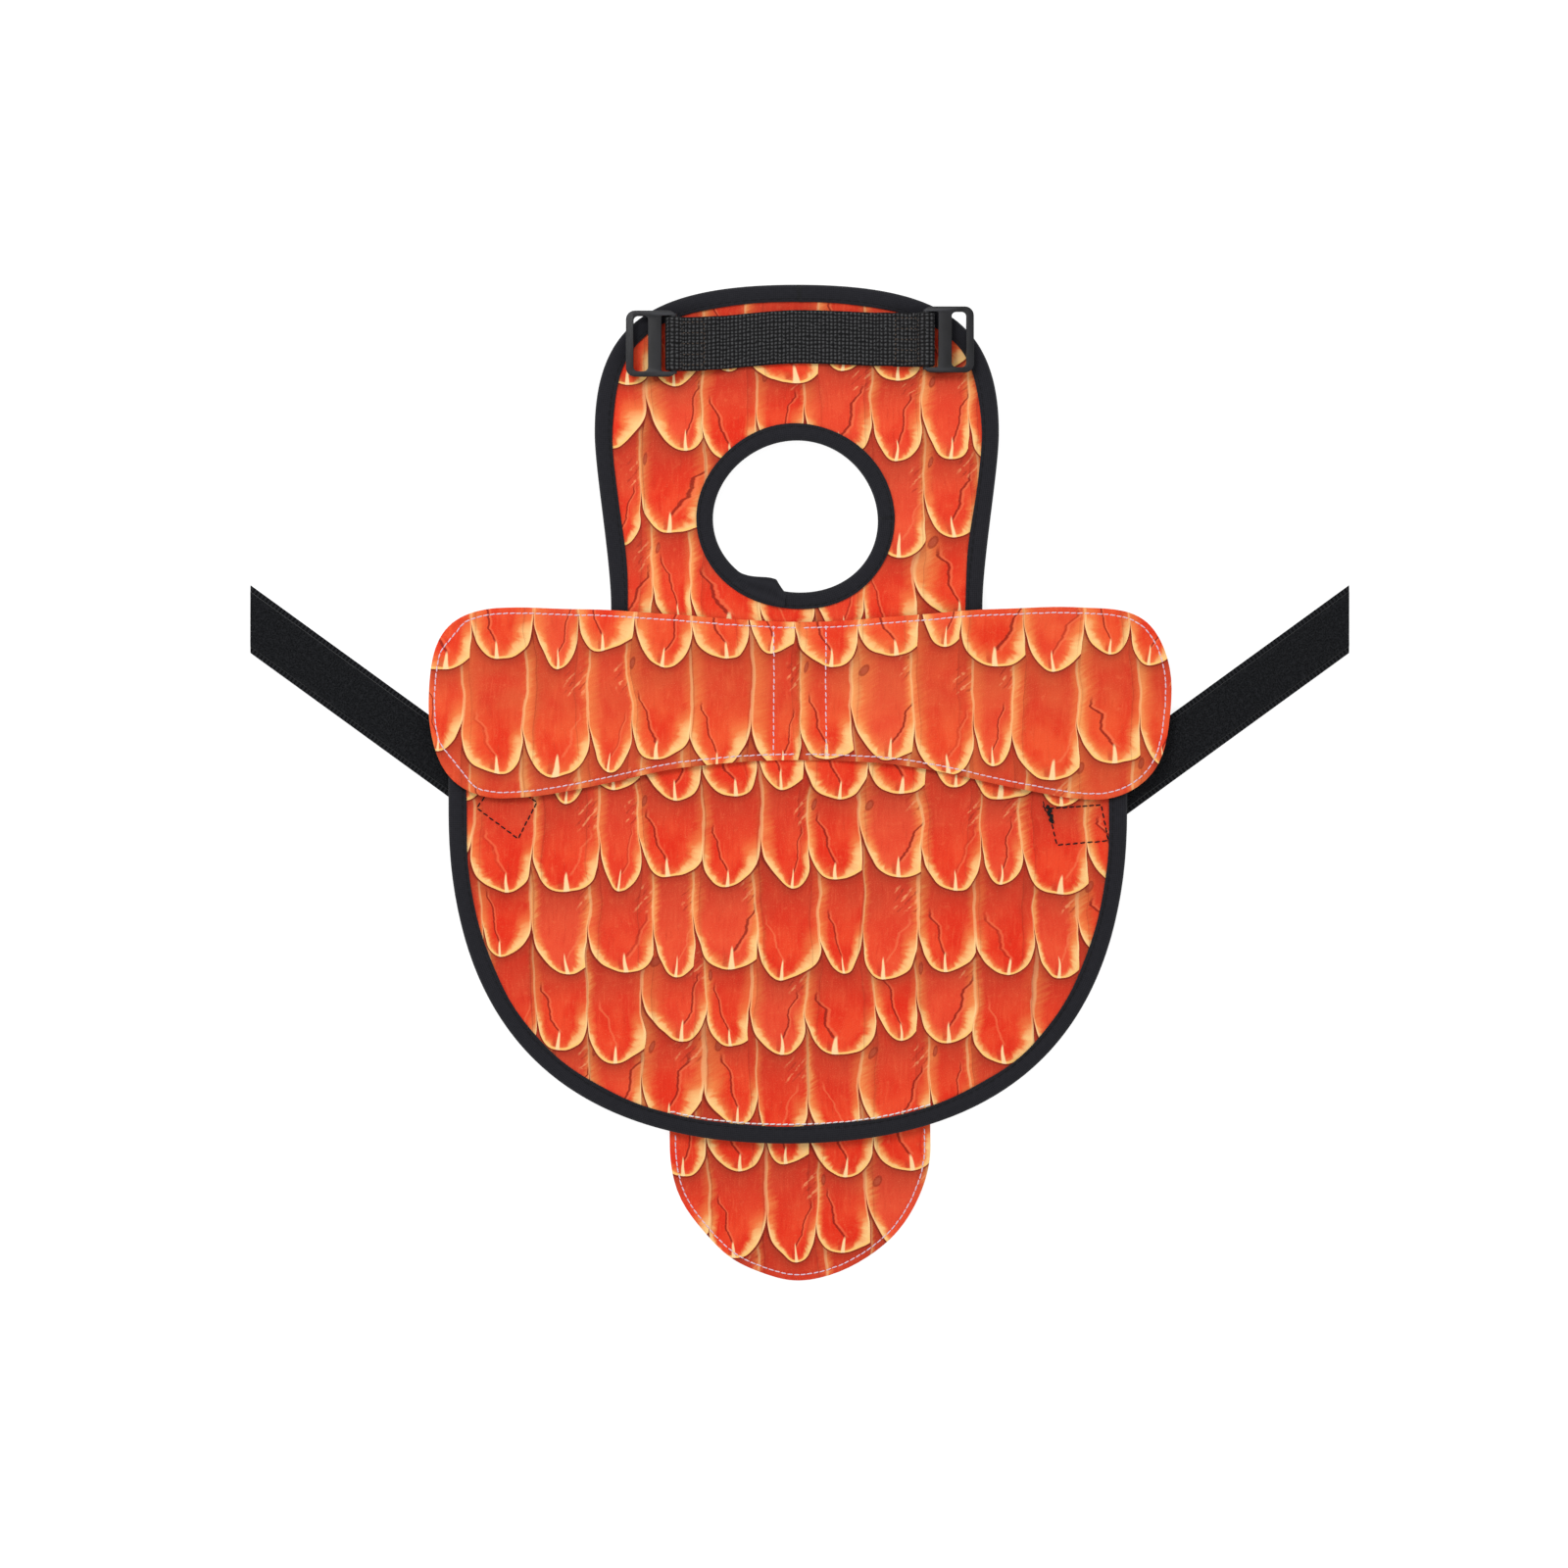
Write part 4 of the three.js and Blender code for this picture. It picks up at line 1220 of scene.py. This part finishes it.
def make_straps():
    """Each strap's loop tape and backing, in a stretch up to its tip and a stretch beyond."""
    tape = tape_section(STRAP_BACKING, STRAP_TOP, STRAP_WIDTH)
    backing = tape_section(0.05, STRAP_BACKING - 0.02, STRAP_WIDTH - 1, 0.1, 8)
    split, tip_fold = 17, 34
    for side, name in ((-1, "left"), (1, "right")):
        strap, tip = f"strap_{name}", f"strap_tip_{name}"
        loop_nodes = [f"strap_anchor_{name}", f"{strap}_loop_tape"]
        pile, plain = (tape, loop_tape, 0.12), (backing, backing_cloth, 0)
        stretches = [
            (f"{strap}_tape", -50, split, pile, loop_nodes, "loop_tape"),
            (f"{tip}_tape", split, None, pile, [f"{tip}_loop_tape"], "loop_tape"),
            (f"{strap}_backing", -46, split, plain, [f"{strap}_backing_tape"], "strap_backing"),
            (f"{tip}_backing", split, tip_fold + 0.8, plain, [], "strap_backing"),
        ]
        for label, start, end, (section, cloth, fuzz), nodes, slot in stretches:
            piece = strap_piece(label, side, start, end, section, cloth, fuzz)
            if nodes:
                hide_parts(*nodes)
            if start == split:
                over_strap(piece, side, tip_fold)
            else:
                over_strap(piece, side, 0)


def strap_underside(side):
    """The height of what a needle meets last: the hidden strap where there is one, or the lining."""
    fold, along, sideways = strap_frame(side)

    def height(x, y):
        across = (x - fold[0]) * sideways[0] + (y - fold[1]) * sideways[1]
        run = (x - fold[0]) * along[0] + (y - fold[1]) * along[1]
        on_strap = (np.abs(across) < STRAP_WIDTH / 2 - 0.6) & (run > -45)
        return np.where(on_strap, 0.06, LINING_TOP - 0.8 + lie(x, y))

    return height


def sew_knot():
    """The tangled start of the right box, which stands proud of the cloth, and its loose end."""
    knot = np.array([
        (71.4, -6.9), (73.3, -7.9), (71.7, -8.8), (73.6, -9.8), (72.3, -10.7), (73.8, -11.6),
    ])
    loose = np.array([(71.9, -8.6), (70.6, -7.0), (70.9, -5.4)])

    def above(x, y):
        return panel_top(x, y) + 0.3

    return [
        sew("knot", knot, above, black_thread, 1.1, 0.42, slant=35),
        sew("knot_back", knot[::-1] + [0.1, 0.3], panel_top, black_thread, 1.3, 0.4, slant=-30),
        sew("knot_end", loose, panel_top, black_thread, 1.5, 0.16, share=1.1),
    ]


def make_strap_boxes():
    """The stitched boxes: the left one follows its strap, the right one is sewn square."""
    boxes = {
        "left": [(-93.9, -7.3), (-81.9, -16.2), (-76.4, -5.6), (-87.5, 1.5)],
        "right": [(72.2, -7.4), (87.6, -6.4), (89.6, -16.8), (74.7, -18.0)],
    }
    for name, corners in boxes.items():
        line = np.array([*corners, corners[0]], float)
        rows = [resample(np.array([a, b]), 2.0, False) for a, b in zip(line[:-1], line[1:])]
        below = strap_underside(-1 if name == "left" else 1)
        parts = [sew("box", row, panel_top, black_thread, 2.0, 0.2, share=0.95) for row in rows]
        parts += [sew("below", row, below, black_thread, 2.0, 0.17, share=0.85, under=True) for row in rows]
        if name == "right":
            parts += sew_knot()
        piece = join(parts, f"strap_box_{name}_stitches")
        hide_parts(f"strap_box_stitch_{name}")
        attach(piece, "back")


def make_hook_patches():
    """Under each strap's tip: a woven base and rows of moulded hooks, all leaning one way."""
    base = [(-7.2, 0.35), (-7.0, 0.52), (7.0, 0.52), (7.2, 0.35), (7.0, 0.3), (-7.0, 0.3)]
    loop = np.array([(0, 0.34), (0.05, 0.16), (0.25, 0.02), (0.5, 0.06), (0.52, 0.2)])
    for side, name in ((-1, "left"), (1, "right")):
        tip = f"strap_tip_{name}"
        plate = strap_piece(f"{tip}_hook_base", side, 35, None, base, backing_cloth)
        fold, along, sideways = strap_frame(side)
        points, faces = [], []
        for across in np.arange(-6.4, 6.5, 1.28):
            for run in np.arange(35.8, strap_end(side, across) - 1, 1.3):
                first = len(points)
                for reach, height in loop:
                    for wide in (-0.16, 0.16):
                        place = fold + along * (run + reach) + sideways * (across + wide)
                        points.append((*place, height + strap_lift(run, side)))
                        points.append((*(place + along * 0.14), height + 0.1 + strap_lift(run, side)))
                for at in range(first, first + 16, 4):
                    faces += [
                        (at, at + 2, at + 6, at + 4), (at + 1, at + 5, at + 7, at + 3),
                        (at, at + 4, at + 5, at + 1), (at + 2, at + 3, at + 7, at + 6),
                    ]
                end = first + 16
                faces += [(first, first + 1, first + 3, first + 2), (end, end + 2, end + 3, end + 1)]
        hooks = new_piece(f"{tip}_hooks", points, faces, plastic)
        face_outwards(hooks)
        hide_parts(f"{tip}_hook_patch")
        for piece in (plate, hooks):
            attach(piece, tip)


# ------------------------------------------------------------------ chest webbing and sliders

WEB_THICK, WEB_WIDTH = 1.2, 15.5
DOUBLED = 9.5  # the folded tail's length, from the bar
BAR_X, BAR_Y, BAR_Z = joint_place("slider_right_swing")
LOOP = 1.9  # webbing's middle to the bar's middle
LOWER, UPPER = BAR_Z - LOOP, BAR_Z - LOOP + 1.5


def bowed(x, y):
    """The laid webbing bows upwards along its length and hangs lowest at its left end."""
    x = np.asarray(x, float)
    end = np.where(x < 0, -1.7, -0.5)
    return x, y + end + (0.5 - end) * (1 - smooth(np.abs(x), 0, BAR_X - 4))


def webbing_route():
    """The webbing's middle, seen from its edge: up over its own folded tail and round each bar."""
    tail_end, flat_end = BAR_X - DOUBLED, BAR_X - 2 * LOOP
    over_bar = BAR_Z + LOOP
    half = np.vstack([
        [(0, LOWER)],
        curve(
            (tail_end - 6, LOWER), (tail_end - 4, LOWER), (tail_end - 3.5, UPPER), (tail_end - 1, UPPER), 12
        ),
        curve((flat_end, UPPER), (flat_end + 2, UPPER), (BAR_X - 2, over_bar), (BAR_X, over_bar), 12),
        [(BAR_X + LOOP * math.sin(a), BAR_Z + LOOP * math.cos(a)) for a in np.linspace(0, math.pi, 16)],
        [(tail_end, LOWER)],
    ])
    left = half[1:][::-1] * [-1, 1]
    return resample(np.vstack([left, half]), RIB / 6, closed=False)


def make_webbing():
    """The ribbed webbing folded round both bars, and the box of stitches that holds each folded tail."""
    route = webbing_route()
    along = headings(route, False)
    normal = quarter_turn(along)
    run = distances(route)
    rib, rib_depth = np.abs(np.sin(run * math.pi / RIB)), 0.16
    half_across = np.array([0.3, 0.6, 0.86, 0.93, 0.985, 1]) * WEB_WIDTH / 2
    half_edge = np.array([1, 1, 1, 0.95, 0.75, 0.35])
    across = np.concatenate([-half_across[::-1], [0], half_across])
    edge = np.concatenate([half_edge[::-1], [1], half_edge])
    upper = (WEB_THICK / 2 - rib_depth + rib_depth * rib)[:, None] * edge[None]
    lower = -(WEB_THICK / 2 - rib_depth + rib_depth * np.roll(rib, 3))[:, None] * edge[None]
    on_cloth = np.stack(np.meshgrid(run, across, indexing="ij"), 2)
    rings = []
    for offset, order in ((upper, slice(None)), (lower, slice(None, None, -1))):
        x = route[:, :1] + normal[:, :1] * offset
        z = route[:, 1:] + normal[:, 1:] * offset
        x, y = bowed(x, BAR_Y + across[None] + 0 * x)
        rings.append((np.stack([x, y, z], 2)[:, order], on_cloth[:, order]))
    points, flat = (np.concatenate(both, 1) for both in zip(*rings))
    faces = ring_faces(*points.shape[:2])
    piece = new_piece(
        "chest_webbing_tape", points.reshape(-1, 3), faces, webbing_cloth, flat.reshape(-1, 2)
    )
    face_outwards(piece)
    round_off(piece, 70)
    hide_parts("chest_webbing")
    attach(piece, "breast")

    over = route[along[:, 0] > 0.3]

    def webbing_top(x, y):
        return np.interp(x, over[:, 0], over[:, 1]) + WEB_THICK / 2 - 0.06

    for side, name in ((-1, "left"), (1, "right")):
        near, far = side * (BAR_X - DOUBLED + 0.6), side * (BAR_X - LOOP - 0.4)
        rows = []
        for share in (-0.4, -0.2, 0, 0.2, 0.4):
            y = BAR_Y + share * WEB_WIDTH
            rows.append(np.array([bowed(near, y), bowed(far, y)]))
        for x in (near, far):
            ends = (BAR_Y - 0.4 * WEB_WIDTH, BAR_Y + 0.4 * WEB_WIDTH)
            rows.append(np.array([bowed(x, y) for y in ends]))
        parts = [
            sew("row", row, webbing_top, brown_thread, 1.35, 0.2, share=0.6, slant=-16) for row in rows
        ]
        piece = join(parts, f"webbing_box_{name}_stitches")
        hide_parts(f"webbing_box_stitch_{name}")
        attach(piece, "breast")


def box_solid(name, low, high, corner):
    """A block with its upright edges rounded."""
    low, high = np.array(low) * MM, np.array(high) * MM
    bpy.ops.mesh.primitive_cube_add(size=1, location=(low + high) / 2)
    block = bpy.context.object
    block.name = name
    bpy.ops.transform.resize(value=tuple(high - low))
    bpy.ops.object.transform_apply(location=True, rotation=True, scale=True)
    bpy.ops.object.mode_set(mode="EDIT")
    bpy.ops.mesh.select_mode(type="EDGE")
    bpy.ops.mesh.select_all(action="DESELECT")
    bpy.ops.object.mode_set(mode="OBJECT")
    places = [v.co for v in block.data.vertices]
    for edge in block.data.edges:
        a, b = (places[i] for i in edge.vertices)
        edge.select = abs(a.z - b.z) > 1e-5
    bpy.ops.object.mode_set(mode="EDIT")
    bpy.ops.mesh.bevel(offset=corner * MM, segments=6)
    bpy.ops.object.mode_set(mode="OBJECT")
    return block


def make_slider(side, name):
    """A moulded three-bar slider: rounded frame, two slots, and a round bar in the webbing's loop."""
    slot_half, rail, length = WEB_WIDTH / 2 + 0.3, 1.5, 13.8
    half_thick, bar_radius = 1, 0.98

    def block(label, near, far, half_width, half_height, corner):
        """A rounded block between two distances out from the bar."""
        x0, x1 = sorted((side * (BAR_X + near), side * (BAR_X + far)))
        low = (x0, BAR_Y - half_width, BAR_Z - half_height)
        high = (x1, BAR_Y + half_width, BAR_Z + half_height)
        return box_solid(label, low, high, corner)

    frame_block = block(f"slider_{name}_frame", -1, length, slot_half + rail, half_thick, 2.6)
    for near, far, corner in ((-2.5, 3.5, 0.5), (7.4, 11.6, 1.3)):
        cutter = block("slot", near, far, slot_half, half_thick + 1, corner)
        only(frame_block)
        bpy.ops.object.modifier_add(type="BOOLEAN")
        cut = frame_block.modifiers[-1]
        cut.operation, cut.object, cut.solver = "DIFFERENCE", cutter, "EXACT"
        bpy.ops.object.modifier_apply(modifier=cut.name)
        drop(cutter)
    only(frame_block)
    bpy.ops.object.modifier_add(type="BEVEL")
    bevel = frame_block.modifiers[-1]
    bevel.width, bevel.segments, bevel.limit_method = 0.62 * MM, 4, "ANGLE"
    bevel.angle_limit = math.radians(50)
    bpy.ops.object.modifier_apply(modifier=bevel.name)
    bpy.ops.mesh.primitive_cylinder_add(
        vertices=28, radius=bar_radius * MM, depth=(2 * slot_half + 1.4) * MM,
        location=Vector((side * BAR_X, BAR_Y, BAR_Z)) * MM, rotation=(math.radians(90), 0, 0),
    )
    round_bar = bpy.context.object
    bpy.ops.object.transform_apply(location=True, rotation=True, scale=True)
    piece = join([frame_block, round_bar], f"slider_{name}_moulding")
    only(piece)
    bpy.ops.transform.translate(value=(0, (bowed(side * BAR_X, BAR_Y)[1] - BAR_Y) * MM, 0))
    bpy.ops.object.transform_apply(location=True, rotation=True, scale=True)
    piece.data.materials.clear()
    piece.data.materials.append(plastic)
    round_off(piece, 35)
    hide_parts(f"slider_{name}")
    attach(piece, f"slider_{name}")


# ------------------------------------------------------------------ the studio

def lamp(place, energy, size):
    """A square light that faces the garment's middle."""
    bpy.ops.object.light_add(type="AREA", location=place)
    made = bpy.context.object
    made.data.energy, made.data.size = energy, size
    made.rotation_euler = Vector(place).to_track_quat("Z", "Y").to_euler()


def make_studio():
    """A white table that is clear from below, an even sky, two lights and a camera straight above."""
    bpy.ops.mesh.primitive_plane_add(size=40, location=(0, 0, -0.0004))
    floor = bpy.context.object
    floor.name = "floor"
    pale, tree, shader = new_material("pale floor", Roughness=0.9, Specular_IOR_Level=0.1)
    shader.inputs["Base Color"].default_value = (0.32, 0.32, 0.32, 1)
    shader.inputs["Emission Color"].default_value = (1, 1, 1, 1)
    shader.inputs["Emission Strength"].default_value = 0.85
    behind = tree.nodes.new("ShaderNodeNewGeometry")
    clear, mixed = tree.nodes.new("ShaderNodeBsdfTransparent"), tree.nodes.new("ShaderNodeMixShader")
    tree.links.new(behind.outputs["Backfacing"], mixed.inputs[0])
    tree.links.new(shader.outputs[0], mixed.inputs[1])
    tree.links.new(clear.outputs[0], mixed.inputs[2])
    tree.links.new(mixed.outputs[0], tree.nodes["Material Output"].inputs["Surface"])
    floor.data.materials.append(pale)

    world = bpy.data.worlds.new("studio")
    bpy.context.scene.world = world
    world.use_nodes = True
    world.node_tree.nodes["Background"].inputs["Color"].default_value = (1, 1, 1, 1)
    world.node_tree.nodes["Background"].inputs["Strength"].default_value = 0.7

    lamp((-0.35, 0.55, 0.9), 4.8, 0.4)
    lamp((0.6, -0.5, 0.9), 1.2, 0.8)

    bpy.ops.object.camera_add(location=(-0.0046, -0.0003, 1.27), rotation=(0, 0, 0))
    camera = bpy.context.object
    camera.data.lens, camera.data.sensor_width = 100, 36
    bpy.context.scene.camera = camera
    bpy.context.scene.view_settings.view_transform = "Standard"


make_studio()
make_panel()
make_bindings()
make_raw_end()
make_wing()
make_tail()
make_straps()
make_hook_patches()
make_strap_boxes()
make_webbing()
for slider_side, slider_name in ((-1, "left"), (1, "right")):
    make_slider(slider_side, slider_name)
